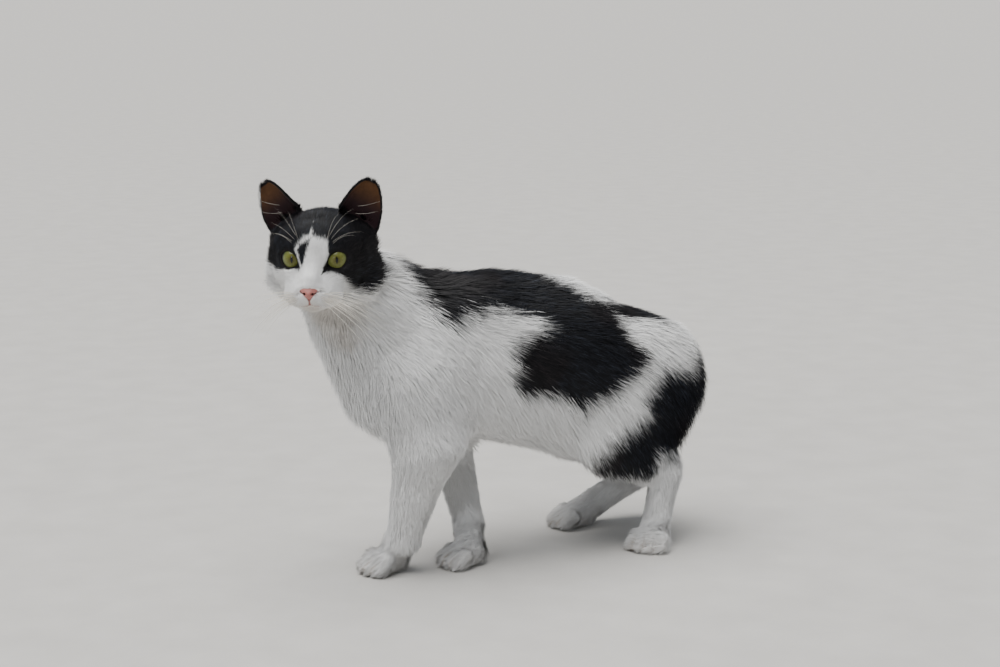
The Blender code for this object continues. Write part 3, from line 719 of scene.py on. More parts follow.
BODY_LIES: list[Lie] = [
    Lie(CoatPart.NECK, (-168, -2, 286), (-112, 0, 246), (0.85, 0, -0.5), 19, 27, 4.0, 10),
    Lie(CoatPart.BACK, (-92, 0, 248), (-48, 0, 245), (1, 0, -0.10), 18, 13, 3.0, 10),
    Lie(CoatPart.BACK, (-24, 0, 240), (14, 0, 237), (1, 0, -0.12), 18, 16, 1.2, 10),
    Lie(CoatPart.BACK, (32, 0, 232), (60, 0, 228), (1, 0, -0.14), 17, 15, 3.2, 10),
    Lie(CoatPart.RUMP, (72, 0, 220), (135, 0, 190), (0.85, 0, -0.5), 17, 17, 5, 10),
    Lie(CoatPart.RUMP, (150, 0, 168), (140, 0, 112), (0.15, 0, -1), 19, 26, 5.5, 10),
    Lie(CoatPart.BELLY, (-60, 0, 112), (75, 0, 100), (0.75, 0, -0.65), 18, 24, 5.5, 12),
    Lie(CoatPart.CHEST, (-190, -12, 232), (-168, -6, 196), (0.30, 0, -0.95), 17, 24, 5, 10),
    Lie(CoatPart.CHEST, (-162, -4, 184), (-144, -4, 140), (0.22, 0, -1), 18, 26, 5.5, 10),
    Lie(CoatPart.FORELEG_LEFT, (-122, -44, 172), (-120, -42, 132), (0.42, 0, -0.9), 13, 20, 3.8, 9),
    Lie(CoatPart.FORELEG_LEFT, (-122, -34, 112), (-130, -14, 40), (0.10, 0.10, -1), 9.5, 17, 2.3, 12),
    Lie(CoatPart.FORELEG_RIGHT, (-100, 50, 168), (-80, 48, 128), (0.42, 0, -0.9), 13, 20, 3.8, 9),
    Lie(CoatPart.FORELEG_RIGHT, (-72, 34, 112), (-62, 12, 40), (0.10, -0.10, -1), 9.5, 17, 2.3, 12),
    Lie(CoatPart.FOREPAWS, (-134, -2, 22), (-152, 2, 6), (-1, -0.1, -0.35), 6.5, 24, 1.9, 12),
    Lie(CoatPart.FOREPAWS, (-64, -2, 22), (-84, -8, 6), (-1, -0.1, -0.35), 6.5, 24, 1.9, 12),
    Lie(CoatPart.HINDPAWS, (106, -40, 22), (88, -34, 6), (-0.9, 0.5, -0.35), 6.5, 24, 1.9, 12),
    Lie(CoatPart.HINDPAWS, (84, 50, 18), (62, 50, 6), (-1, 0, -0.35), 6.5, 24, 1.9, 12),
    Lie(CoatPart.HINDLEG_LEFT, (112, -48, 74), (104, -42, 34), (-0.05, 0, -1), 8.5, 20, 2.2, 9),
    Lie(CoatPart.HINDLEG_RIGHT, (132, 48, 50), (100, 50, 26), (-0.8, 0, -0.6), 8.5, 20, 2.2, 9),
    Lie(CoatPart.HINDLEG_RIGHT, (92, 50, 80), (130, 50, 52), (0.6, 0, -0.8), 9, 16, 2.4, 9),
    *both_sides(CoatPart.NECK, (-172, 34, 246), (-140, 40, 218), (0.75, 0, -0.65), 16, 17, 4.5, 10),
    *both_sides(FLANKS, (-122, 44, 214), (-96, 48, 188), (0.68, 0, -0.72), 16, 16, 4.5, 10),
    *both_sides(FLANKS, (-60, 42, 222), (64, 42, 210), (0.95, 0, -0.28), 16, 14, 4.5, 10),
    *both_sides(FLANKS, (-46, 54, 186), (74, 56, 166), (0.84, 0, -0.54), 17, 15, 5, 10),
    *both_sides(FLANKS, (-86, 52, 186), (-62, 54, 146), (0.52, 0, -0.85), 17, 17, 5, 10),
    *both_sides(FLANKS, (-34, 52, 138), (46, 56, 128), (0.50, 0, -0.86), 18, 19, 5, 10),
    *both_sides(HAUNCHES, (96, 46, 198), (134, 40, 176), (0.74, 0, -0.67), 17, 17, 5, 10),
    *both_sides(HAUNCHES, (84, 57, 160), (66, 57, 104), (0.50, 0, -0.86), 16, 18, 4.8, 10),
    *both_sides(HAUNCHES, (142, 38, 148), (122, 46, 96), (0.25, 0, -1), 18, 24, 5, 10),
]

NOSE_TIP = (52.0, 0.0, -20.0)
OUTWARD = (0.0, 0.0, 0.0)

HEAD_LIES: list[Lie] = [
    Lie(CoatPart.FACE, (36, 0, -2), (49, 0, -12), OUTWARD, 2.4, 9, 0.7, 7, True),
    Lie(CoatPart.FACE, (26, 0, 18), (33, 0, 8), OUTWARD, 3.6, 12, 1.0, 8, True),
    Lie(CoatPart.FACE, (42, 0, -33), (36, 0, -37), OUTWARD, 4.0, 22, 1.1, 6, True),
    Lie(CoatPart.CROWN, (6, 0, 33), (-22, 0, 30), OUTWARD, 7.5, 15, 2.2, 10, True),
    Lie(CoatPart.CROWN, (-42, 0, 10), (-40, 0, -14), OUTWARD, 12, 16, 3.6, 10, True),
    Lie(CoatPart.FACE, (30, 0, -39), (24, 0, -41), OUTWARD, 5.5, 18, 1.5, 7, True),
    Lie(CoatPart.CROWN, (12, 0, -42), (-8, 0, -40), OUTWARD, 11, 19, 3.2, 8, True),
    *both_sides(CoatPart.FACE, (44, 9, -25), (38, 17, -26), OUTWARD, 3.2, 18, 0.9, 7, in_head=True),
    *both_sides(CoatPart.FACE, (30, 16, -14), (24, 26, -14), OUTWARD, 5.2, 17, 1.1, 7, in_head=True),
    *both_sides(CoatPart.FACE, (26, 12, 13), (16, 28, 12), OUTWARD, 4.4, 12, 1.2, 8, in_head=True),
    *both_sides(CoatPart.FACE, (8, 38, 2), (4, 42, -8), OUTWARD, 8.5, 22, 1.6, 8, in_head=True),
    *both_sides(CoatPart.CROWN, (-8, 43, -14), (-20, 40, -16), OUTWARD, 13, 24, 2.8, 9, in_head=True),
    *both_sides(CoatPart.CROWN, (12, 26, -30), (-6, 32, -30), OUTWARD, 13, 25, 2.6, 8, in_head=True),
    *both_sides(CoatPart.CROWN, (-30, 28, 14), (-34, 26, -8), OUTWARD, 10, 15, 3.0, 10, in_head=True),
]


@dataclass(frozen=True)
class EyeShape:
    """An eyeball and the almond that the lids leave open. Lengths are in metres."""

    radius: float = 0.0108
    outward: float = math.radians(14.0)
    slant: float = math.radians(23.0)
    open_width: float = 0.0172
    open_height: float = 0.0128
    ball_reach: float = 1.15
    fur_fades: tuple[float, float] = (0.001, 0.008)

    def axes(self, side: Side) -> Matrix:
        """The opening's own axes in the head's frame: out of the face, aside and up, as columns."""
        out = Vector((math.cos(self.outward), math.sin(self.outward), 0.03)).normalized()
        aside = Vector((0, 0, 1)).cross(out).normalized()
        tilt = Matrix.Rotation(self.slant, 3, out)
        columns = [out, tilt @ aside, tilt @ out.cross(aside)]
        if side is Side.RIGHT:
            columns = [Vector((column.x, -column.y, column.z)) for column in columns]
        return Matrix(columns).transposed()

    def centre(self, side: Side) -> Vector:
        """The eyeball's middle in the head's frame."""
        return Vector((HEAD.eye[0], side.value * HEAD.eye[1], HEAD.eye[2]))

    def almond(self, turn: Array) -> Array:
        """How far the opening closes towards its corners, by the direction round it."""
        return 0.62 + 0.38 * np.abs(np.sin(turn)) ** 0.75

    def edge(self, turn: Array) -> tuple[Array, Array]:
        """How far aside and up the lids' edge lies, by the direction round the opening."""
        return self.open_width / 2 * np.cos(turn), self.open_height / 2 * np.sin(turn) * self.almond(turn)

    def gap(self, spots: Array, side: Side) -> Array:
        """How far scene points lie outside the lids' edge or off the eyeball, less than zero inside it."""
        local = self.local(spots, side)
        across, up = local[:, 1] / (self.open_width / 2), local[:, 2] / (self.open_height / 2)
        turn = np.arctan2(up, across)
        for _ in range(6):
            turn = np.arctan2(up / self.almond(turn), across)
        limit = np.arcsin(np.clip(np.hypot(*self.edge(turn)) / self.radius, 0, 1))
        found = self.radius * (np.arctan2(np.hypot(local[:, 1], local[:, 2]), local[:, 0]) - limit)
        beyond = np.linalg.norm(local, axis=1) - self.radius * self.ball_reach
        return np.where(beyond > 0, np.hypot(np.maximum(found, 0), beyond), found)

    def local(self, spots: Array, side: Side) -> Array:
        """Scene points in the opening's own axes."""
        axes = np.array(self.axes(side))
        return (headwards(spots) - np.array(self.centre(side))) @ axes

    def from_local(self, local: Vector, side: Side) -> Vector:
        """A point of the opening's own axes in the scene."""
        return TO_SCENE @ (self.centre(side) + self.axes(side) @ local)


EYE = EyeShape()


@dataclass(frozen=True)
class EarShape:
    """The cup of an ear in the head's frame, in millimetres, on the side where y is above zero."""

    inner_base: tuple[float, float, float] = (4.0, 16.0, 37.0)
    outer_base: tuple[float, float, float] = (-13.0, 42.4, 11.0)
    left_tip: tuple[float, float, float] = (-10.0, 41.0, 58.0)
    right_tip: tuple[float, float, float] = (-10.0, 48.0, 54.8)
    cup: float = 0.0135
    blunt: float = 0.972
    round: float = 0.82
    steps: tuple[int, int] = (72, 60)
    rim: tuple[float, float] = (0.0010, 0.0019)
    reach: float = 0.005

    def corners(self, side: Side) -> tuple[Vector, Vector, Vector]:
        """The inner base, outer base and tip in the head's frame, in metres."""
        tip = self.left_tip if side is Side.LEFT else self.right_tip
        mirror = Vector((1, side.value, 1))
        return tuple(Vector(place) * mirror * MM for place in (self.inner_base, self.outer_base, tip))

    def sheet(self, side: Side) -> tuple[Array, Array, Array, Array]:
        """The ear's own cupped sheet, as its solid has it.

        Args:
            side: Which ear.

        Returns:
            Points of the sheet in the head's frame, the way out of the cup at each, how far each lies from
            the rim, and how high up the ear it is, from 0 to 1.
        """
        inner, outer, tip = (np.array(corner) for corner in self.corners(side))
        base, slanted = (inner + outer) / 2, outer - inner
        up = tip - base
        opening = unit(np.cross(slanted, up)) * side.value
        level = unit(np.cross(up, opening)) * side.value
        rise, across = np.meshgrid(np.linspace(0, self.blunt, self.steps[0]),
                                   np.linspace(-1, 1, self.steps[1]), indexing="ij")
        rise, across = rise[..., None], across[..., None]
        lean = rise**0.8
        aside = unit(unit(slanted) * (1 - lean) + level * lean)
        width = (1 - self.round) * (1 - rise) + self.round * np.sqrt(1 - rise**2)
        width *= np.linalg.norm(slanted) / 2
        curl = np.radians(74.0 - 34.0 * rise)
        sag = (np.cos(across * curl) - np.cos(curl)) / (1 - np.cos(curl))
        depth = self.cup * (1 - 0.80 * rise) + 0.0015 * rise
        spot = base + up * rise + aside * width * np.sin(across * curl) / np.sin(curl)
        spot = spot + opening * (0.004 * np.sin(math.pi * rise) * (1 - rise) - depth * sag)
        out = unit(np.cross(np.gradient(spot, axis=1), np.gradient(spot, axis=0))) * side.value
        out *= np.sign((out[:, self.steps[1] // 2] @ opening).mean())
        from_rim = np.minimum(*(np.linalg.norm(spot - spot[:, [edge]], axis=2) for edge in (0, -1)))
        from_rim = np.minimum(from_rim, (self.blunt - rise[..., 0]) * np.linalg.norm(up))
        return spot.reshape(-1, 3), out.reshape(-1, 3), from_rim.ravel(), rise.ravel()

    def hollow(self, spots: Array, normals: Array) -> tuple[Array, Array]:
        """Finds the bare hollows.

        Args:
            spots: Places on the skin, in the scene.
            normals: The skin's normals there.

        Returns:
            How far each place belongs to a hollow, and how high up its ear it lies, from 0 to 1.
        """
        head = headwards(spots)
        facing = normals @ np.array(TO_HEAD.to_3x3()).T
        found, high = np.zeros(len(spots)), np.zeros(len(spots))
        for side in Side:
            sheet, out, from_rim, rise = self.sheet(side)
            tree = KDTree(len(sheet))
            for index, place in enumerate(sheet.tolist()):
                tree.insert(place, index)
            tree.balance()
            least, most = sheet.min(axis=0) - self.reach, sheet.max(axis=0) + self.reach
            near = np.all((head > least) & (head < most), axis=1)
            hits = [tree.find(place)[1:] for place in head[near].tolist()]
            nearest = np.array([hit[0] for hit in hits])
            close = np.array([hit[1] for hit in hits]) < self.reach
            share = eased(0.10, 0.35, (facing[near] * out[nearest]).sum(axis=1)) * close
            found[near] = share * eased(*self.rim, from_rim[nearest]) * eased(0.02, 0.16, rise[nearest])
            high[near] = rise[nearest]
        return found, high


EAR = EarShape()


class Lies:
    """The lie, length and depth of the coat anywhere on the skin."""

    def __init__(self) -> None:
        """Brings every stretch into the scene's frame."""
        self.stretches = [(lie, *self._placed(lie)) for lie in BODY_LIES + HEAD_LIES + self._ear_lies()]
        self.nose = np.array(TO_SCENE @ (Vector(NOSE_TIP) * MM))

    def _ear_lies(self) -> list[Lie]:
        """The stretches up each ear."""
        made = []
        for side in Side:
            inner, outer, tip = (corner / MM for corner in EAR.corners(side))
            foot = (inner + outer) / 2
            up = tuple((tip - foot).normalized())
            for base in (inner, outer, foot):
                start = base.lerp(tip, 0.18)
                made.append(Lie(CoatPart.EARS, tuple(start), tuple(tip), up, 3.4, 10, 0.15, 3, True))
        return made

    def _placed(self, lie: Lie) -> tuple[Array, Array, Array]:
        """A stretch's start, end and direction in the scene's frame, in metres."""
        if lie.in_head:
            ends = from_head(np.array([lie.start, lie.end]) * MM)
            towards = np.array(TO_SCENE.to_3x3() @ Vector(lie.towards))
        else:
            ends = np.array([lie.start, lie.end]) * MM + SHIFT
            towards = np.array(lie.towards, float)
        return ends[0], ends[1], towards

    def at(self, spots: Array) -> dict[str, Array]:
        """The coat at places on the skin.

        Args:
            spots: Places in the scene, in metres.

        Returns:
            The way it lies, its length, lift and depth, and the number of its part.
        """
        parts = list(CoatPart)
        total = np.zeros(len(spots))
        found = {"way": np.zeros((len(spots), 3)), "length": 0.0, "lift": 0.0, "depth": 0.0}
        share = np.zeros((len(parts), len(spots)))
        from_nose = unit(spots - self.nose)
        for lie, start, end, towards in self.stretches:
            gap = np.maximum(from_segment(spots, start, end) - lie.round * MM, 0) / MM
            weight = 1 / (gap + 1.5) ** 4
            total += weight
            way = from_nose if lie.towards == OUTWARD else unit(towards)[None, :]
            found["way"] += weight[:, None] * way
            found["length"] = found["length"] + weight * lie.length * MM
            found["lift"] = found["lift"] + weight * math.radians(lie.lift)
            found["depth"] = found["depth"] + weight * lie.depth * MM
            share[parts.index(lie.part)] += weight
        for key in ("length", "lift", "depth"):
            found[key] = found[key] / total
        found["part"] = share.argmax(axis=0)
        return found


@dataclass
class Skin:
    """One skin over all the flesh, a coat's depth inside the solids."""

    voxel: float = 0.0009
    overlap: float = 0.0003
    thinnest: float = 0.0013
    pad_top: float = -0.018
    pad_inner: float = 0.005
    pad_outer: float = 0.028
    chin_foot: float = -0.043
    muzzle_middle: tuple[float, float, float] = (0.030, 0.0, -0.020)
    lid_swell: float = 0.0010
    sunk_eye: float = 0.0014
    triangles: int = 150000
    smoothing: int = 6
    flush: tuple[float, float] = (0.0006, 0.0050)
    lid_edge: tuple[float, float] = (0.0002, 0.0016)
    rim_edge: tuple[float, float] = (0.0006, 0.0014)
    blend: float = 0.0012
    fine_from: tuple[float, float] = (-0.055, -0.030)
    fine_half_width: float = 0.06
    fine_foot: float = -0.05
    paw_height: float = 0.025
    lies: Lies = field(default_factory=Lies)
    flesh: tuple[str, ...] = ()
    mesh: Optional[bpy.types.Mesh] = None
    marks: dict[str, Array] = field(default_factory=dict)

    def __post_init__(self) -> None:
        """Takes every node but the eyes and the nose leather for flesh."""
        self.flesh = tuple(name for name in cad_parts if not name.startswith(("eye", "nose")))

    def _without_whiskers(self, shape: bmesh.types.BMesh) -> None:
        """Folds the thin whiskers back into the muzzle, which stays one closed surface."""
        tree = BVHTree.FromBMesh(shape)
        thin = set()
        for vert in shape.verts:
            place = TO_HEAD @ vert.co
            distance = tree.ray_cast(vert.co - vert.normal * 1e-5, -vert.normal)[3]
            slender = distance is not None and distance < self.thinnest
            on_pad = place.z < self.pad_top and abs(place.y) > self.pad_inner
            if abs(place.y) > self.pad_outer or place.z < self.chin_foot or (slender and on_pad):
                thin.add(vert)
        for _ in range(3):
            for vert in shape.verts:
                near = [edge.other_vert(vert) in thin for edge in vert.link_edges]
                if sum(near) > 0.6 * len(near):
                    thin.add(vert)
        for vert in thin:
            vert.co = TO_SCENE @ Vector(self.muzzle_middle)
        shape.normal_update()

    def _joined(self) -> bpy.types.Object:
        """Copies of the flesh, swollen until they overlap, with a ball to close each eye."""
        shapes = []
        for name in self.flesh:
            shape = merged_solid(name)
            shape.normal_update()
            if name == "muzzle":
                self._without_whiskers(shape)
            for vert in shape.verts:
                vert.co += vert.normal * self.overlap
            shapes.append(shape)
        radius = EYE.radius + self.lid_swell
        for side in Side:
            ball = bmesh.new()
            place = Matrix.Translation(TO_SCENE @ EYE.centre(side))
            bmesh.ops.create_icosphere(ball, subdivisions=4, radius=radius, matrix=place)
            shapes.append(ball)
        return linked(joined(shapes, "skin"), "skin")

    def _largest(self, shape: bmesh.types.BMesh) -> None:
        """Keeps only a shape's largest closed surface."""
        whole: set = set()
        unseen = set(shape.verts)
        while unseen and len(whole) < len(shape.verts) / 2:
            stack = [unseen.pop()]
            whole = set(stack)
            while stack:
                for edge in stack.pop().link_edges:
                    for vert in edge.verts:
                        if vert not in whole:
                            whole.add(vert)
                            stack.append(vert)
            unseen -= whole
        scraps = [vert for vert in shape.verts if vert not in whole]
        bmesh.ops.delete(shape, geom=scraps, context="VERTS")

    def _shrunk(self, mesh: bpy.types.Mesh) -> None:
        """Draws the surface in by the coat's depth, keeps it flush with the nose and opens the eyes."""
        spots = spots_of(mesh)
        depth = self.lies.at(spots)["depth"] + self.overlap
        depth *= eased(*self.flush, from_nose_leather(spots))
        gaps = {side: EYE.gap(spots, side) for side in Side}
        for gap in gaps.values():
            depth *= 0.25 + 0.75 * eased(*EYE.fur_fades, gap)
        depth += PAWS.crease(spots) * PAWS.depth
        spots -= normals_of(mesh) * depth[:, None]
        spots[:, 2] = np.maximum(spots[:, 2], 0.0)
        for side, gap in gaps.items():
            centre = np.array(TO_SCENE @ EYE.centre(side))
            radius = np.linalg.norm(spots - centre, axis=1)
            near = (radius < EYE.radius * 1.5) & (gap < self.lid_edge[1])
            sunk = (EYE.radius - self.sunk_eye) / radius
            share = eased(*self.lid_edge, gap)
            pull = np.where(near, np.minimum(sunk * (1 - share) + share, 1.0), 1.0)
            spots = centre + (spots - centre) * pull[:, None]
        put_spots(mesh, spots)

    def _lightened(self, mesh: bpy.types.Mesh) -> bpy.types.Mesh:
        """Fewer triangles on the body, with the head, the ears and the paws left fine."""
        piece = linked(mesh, "skin")
        spots = spots_of(mesh)
        head = headwards(spots)
        fine = eased(*self.fine_from, head[:, 0]) * (np.abs(head[:, 1]) < self.fine_half_width)
        fine = fine * (head[:, 2] > self.fine_foot)
        fine = np.maximum(fine, 0.7 * (spots[:, 2] < self.paw_height))
        coarse = piece.vertex_groups.new(name="coarse")
        for level in range(1, 11):
            share = level / 10
            chosen = np.nonzero(np.round((1 - fine) * 10) == level)[0]
            coarse.add(chosen.tolist(), share, "REPLACE")
        decimate = piece.modifiers.new("lighter", "DECIMATE")
        decimate.vertex_group = "coarse"
        decimate.ratio = self.triangles / (2 * len(mesh.polygons))
        decimate.use_collapse_triangulate = True
        shape = evaluated(piece)
        bmesh.ops.triangulate(shape, faces=shape.faces)
        return mesh_of(shape, "skin")

    def _unwrapped(self, piece: bpy.types.Object) -> None:
        """Lays the skin's own shape out flat, for the roots of the tufts."""
        piece.data.uv_layers.new(name="OFBake")
        bpy.context.view_layer.objects.active = piece
        piece.select_set(True)
        bpy.ops.object.mode_set(mode="EDIT")
        bpy.ops.mesh.select_all(action="SELECT")
        bpy.ops.uv.smart_project(angle_limit=math.radians(66), island_margin=0.001)
        bpy.ops.object.mode_set(mode="OBJECT")
        piece.select_set(False)

    def build(self, markings: Markings, material: bpy.types.Material) -> bpy.types.Object:
        """Makes the skin, marks it and unwraps it."""
        shape = one_surface(self._joined(), self.voxel)
        self._largest(shape)
        smoothed(shape, self.smoothing)
        mesh = mesh_of(shape, "skin")
        LOG.info("one surface of %d faces", len(mesh.polygons))
        self._shrunk(mesh)
        self.mesh = self._lightened(mesh)
        piece = linked(self.mesh, "skin", material)
        self._unwrapped(piece)
        self._marked(markings)
        return piece

    def _marked(self, markings: Markings) -> None:
        """Keeps on the skin the numbers that its finish and the roots of the coat read."""
        spots, normals = spots_of(self.mesh), normals_of(self.mesh)
        bare, glow = EAR.hollow(spots, normals)
        duct = 1 - eased(0.5, 1.1, DUCTS.gap(headwards(spots)))
        rims = [1 - eased(*self.rim_edge, EYE.gap(spots, side)) for side in Side]
        self.marks = {
            "black": eased(-self.blend, self.blend, markings.depth_in_black(spots)),
            "chance": np.full(len(spots), 0.5),
            "along": np.full(len(spots), 0.6),
            "stain_and_shade": markings.shaded_and_stained(spots),
            "bare": bare,
            "glow": glow,
            "lip": MOUTH.share(headwards(spots)),
            "rim": np.maximum(duct, np.maximum(*rims)),
        }
        for name, values in self.marks.items():
            put_values(self.mesh, name, values)

    def tree(self) -> BVHTree:
        """The skin as a tree that rays can meet."""
        corners = [tuple(face.vertices) for face in self.mesh.polygons]
        return BVHTree.FromPolygons([vert.co for vert in self.mesh.vertices], corners)


def from_nose_leather(spots: Array, reach: float = 0.012) -> Array:
    """How far scene points lie from the nose leather, up to a reach."""
    shape = bmesh.new()
    shape.from_mesh(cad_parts["nose_leather"].data)
    tree = BVHTree.FromBMesh(shape)
    shape.free()
    low, high = (np.array(corner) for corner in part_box("nose_leather"))
    near = np.all((spots > low - reach) & (spots < high + reach), axis=1)
    found = np.full(len(spots), reach)
    for index in np.nonzero(near)[0]:
        hit = tree.find_nearest(Vector(spots[index]), reach)
        if hit[3] is not None:
            found[index] = hit[3]
    return found


@dataclass(frozen=True)
class Ducts:
    """The dark line that runs down from each eye's inner corner, as (y, z) in the head's frame, in mm."""

    left: tuple[tuple[float, float], ...] = ((11.2, -3.2), (8.6, -8.6))
    right: tuple[tuple[float, float], ...] = ((-11.2, -3.6), (-10.3, -7.2))

    def gap(self, head: Array) -> Array:
        """How far places in the head's frame lie from the lines, seen from the front, in mm."""
        spots = head[:, 1:] / MM
        found = np.minimum(*(from_segment(spots, *np.array(line)) for line in (self.left, self.right)))
        return np.where(head[:, 0] > 0.018, found, 99.0)


DUCTS = Ducts()


@dataclass(frozen=True)
class Mouth:
    """The line of the mouth and the groove under the nose, in the head's frame, in millimetres."""

    drop: float = 30.8
    half_width: float = 18.8
    groove_top: float = -27.5
    groove_foot: float = -31.5
    fades: tuple[float, float] = (5.0, 13.0)

    def line(self) -> list[tuple[float, float]]:
        """Points (y, z) along the line of the lips, from one corner to the other."""
        path = []
        for step in range(-14, 15):
            part = abs(step) / 14
            low = self.drop + 2.6 * math.sin(math.pi * part**0.8) - 2.0 * part**3
            path.append((self.half_width * step / 14, -low))
        return path

    def gap(self, head: Array) -> Array:
        """How far places in the head's frame lie from the mouth's lines, seen from the front, in mm."""
        spots = head[:, 1:] / MM
        path = np.array(self.line())
        found = np.full(len(spots), 99.0)
        for start, end in zip(path[:-1], path[1:]):
            found = np.minimum(found, from_segment(spots, start, end))
        groove = from_segment(spots, np.array((0.0, self.groove_top)), np.array((0.0, self.groove_foot)))
        found = np.minimum(found, groove)
        return np.where(head[:, 0] > 0.026, found, 99.0)

    def share(self, head: Array) -> Array:
        """How far places in the head's frame belong to the bare edge of the lips, from 0 to 1."""
        fading = 1 - eased(self.fades[0], self.fades[1], np.abs(head[:, 1]) / MM)
        return (1 - eased(0.4, 1.3, self.gap(head))) * fading


MOUTH = Mouth()


@dataclass
class Coat:
    """The fur: tufts of solid mesh along the lie of the coat, with their roots in the skin."""

    thickness: float = 0.42
    bend_from: float = 0.0066
    patch: float = 0.0015
    seed: int = 20
    softness: float = 0.75
    mingling: float = 0.19
    seen_near: float = 0.2
    seen_far: float = 0.9
    cover_lengths: tuple[float, ...] = (2.5, 4.5, 8.0, 15.0)
    covers: tuple[float, ...] = (2.2, 1.9, 2.4, 4.3)
    narrowest: float = 0.00031
    widening: float = 0.0140
    sole: float = 0.0008
    off_nose: float = 0.0007
    nose_fades: tuple[float, float] = (0.006, 0.018)
    swirl: float = math.radians(14)
    unruly: float = math.radians(6)
    clumping: float = math.radians(11)
    lift_waves: float = math.radians(4)
    off_floor: float = 0.0002
    lies: Lies = field(default_factory=Lies)

    def _cover(self, length: Array) -> Array:
        """How many tufts lie over any place, for the coat's length there."""
        return np.interp(length / MM, self.cover_lengths, self.covers)

    def _width(self, length: Array) -> Array:
        """A tuft's width for its length, in metres."""
        return self.narrowest + self.widening * length

    def _roots(self, skin: Skin, draw: np.random.Generator) -> dict[str, Array]:
        """Draws the places of the roots over the skin, closer where the tufts are small."""
        mesh = skin.mesh
        mesh.calc_loop_triangles()
        count = len(mesh.loop_triangles)
        corners = np.empty(count * 3, np.int32)
        loops = np.empty(count * 3, np.int32)
        mesh.loop_triangles.foreach_get("vertices", corners)
        mesh.loop_triangles.foreach_get("loops", loops)
        corners, loops = corners.reshape(-1, 3), loops.reshape(-1, 3)
        flat = np.empty(len(mesh.loops) * 2, np.float32)
        mesh.uv_layers["OFBake"].data.foreach_get("uv", flat)
        spots = spots_of(mesh)
        a, b, c = (spots[corners[:, i]] for i in range(3))
        area = np.linalg.norm(np.cross(b - a, c - a), axis=1) / 2
        middle = (a + b + c) / 3
        length = self._lengths(self.lies.at(middle), middle)
        density = self._cover(length) / (0.5 * length * self._width(length))
        number = draw.poisson(area * density)
        chosen = np.repeat(np.arange(count), number)
        share = draw.random((len(chosen), 2))
        over = share.sum(axis=1) > 1
        share[over] = 1 - share[over]
        weights = np.column_stack((1 - share.sum(axis=1), share))
        near = corners[chosen]
        roots = {name: (skin.marks[name][near] * weights).sum(axis=1) for name in ("bare", "lip", "rim")}
        roots["spot"] = (spots[near] * weights[:, :, None]).sum(axis=1)
        roots["normal"] = unit((normals_of(mesh)[near] * weights[:, :, None]).sum(axis=1))
        roots["flat"] = (flat.reshape(-1, 2)[loops[chosen]] * weights[:, :, None]).sum(axis=1)
        return roots

    def _lengths(self, coat: dict[str, Array], spots: Array) -> Array:
        """The coat's length, shorter round the eyes, the nose and the mouth."""
        length = coat["length"].copy()
        for side in Side:
            length *= 0.40 + 0.60 * eased(*EYE.fur_fades, EYE.gap(spots, side))
        nose = np.linalg.norm(spots - self.lies.nose, axis=1)
        return length * (0.5 + 0.5 * eased(*self.nose_fades, nose))

    def _kept(self, roots: dict[str, Array]) -> Array:
        """Which roots stay: none in the open eyes, the ears' hollows, the lips, the soles or the nose."""
        spots = roots["spot"]
        furred = (roots["bare"] < 0.5) & (roots["lip"] < 0.5) & (roots["rim"] < 0.6)
        return furred & (spots[:, 2] > self.sole) & (from_nose_leather(spots) > self.off_nose)

    def _eye_way(self, spots: Array, way: Array) -> Array:
        """Turns the lie away from each eye, so that no tuft crosses its opening."""
        for side in Side:
            centre = np.array(TO_SCENE @ EYE.centre(side))
            share = 0.75 * (1 - eased(0.001, 0.009, EYE.gap(spots, side)))[:, None]
            way = unit(way * (1 - share) + unit(spots - centre) * share)
        return way

    def _strands(self, roots: dict[str, Array], draw: np.random.Generator) -> dict[str, Array]:
        """The direction, length, lift and look of every tuft."""
        spots, normals = roots["spot"], roots["normal"]
        coat = self.lies.at(spots)
        way = self._eye_way(spots, unit(coat["way"]))
        along = unit(way - (way * normals).sum(axis=1, keepdims=True) * normals)
        clumps = waves(spots, 0.0038, 31.0)
        swirl = waves(spots, 0.016, 5.0) * self.swirl + draw.normal(0, self.unruly, len(spots))
        swirl += clumps * self.clumping
        aside = np.cross(normals, along)
        along = along * np.cos(swirl)[:, None] + aside * np.sin(swirl)[:, None]
        length = self._lengths(coat, spots) * draw.uniform(0.72, 1.18, len(spots))
        lift = coat["lift"] * draw.uniform(0.7, 1.3, len(spots))
        lift += self.lift_waves * waves(spots, 0.0045, 9.0)
        return {
            "spot": spots, "normal": normals, "flat": roots["flat"], "along": along,
            "aside": np.cross(normals, along), "length": length, "lift": lift, "part": coat["part"],
            "width": self._width(length) * draw.uniform(0.8, 1.2, len(spots)),
            "chance": np.clip(self._chance(spots, draw), 0, 1),
        }

    def _chance(self, spots: Array, draw: np.random.Generator) -> Array:
        """What sets the shade of a tuft apart from its neighbours', partly shared within a clump."""
        return draw.random(len(spots)) * 0.75 + waves(spots, 0.0026, 47.0) * 0.5 + 0.12

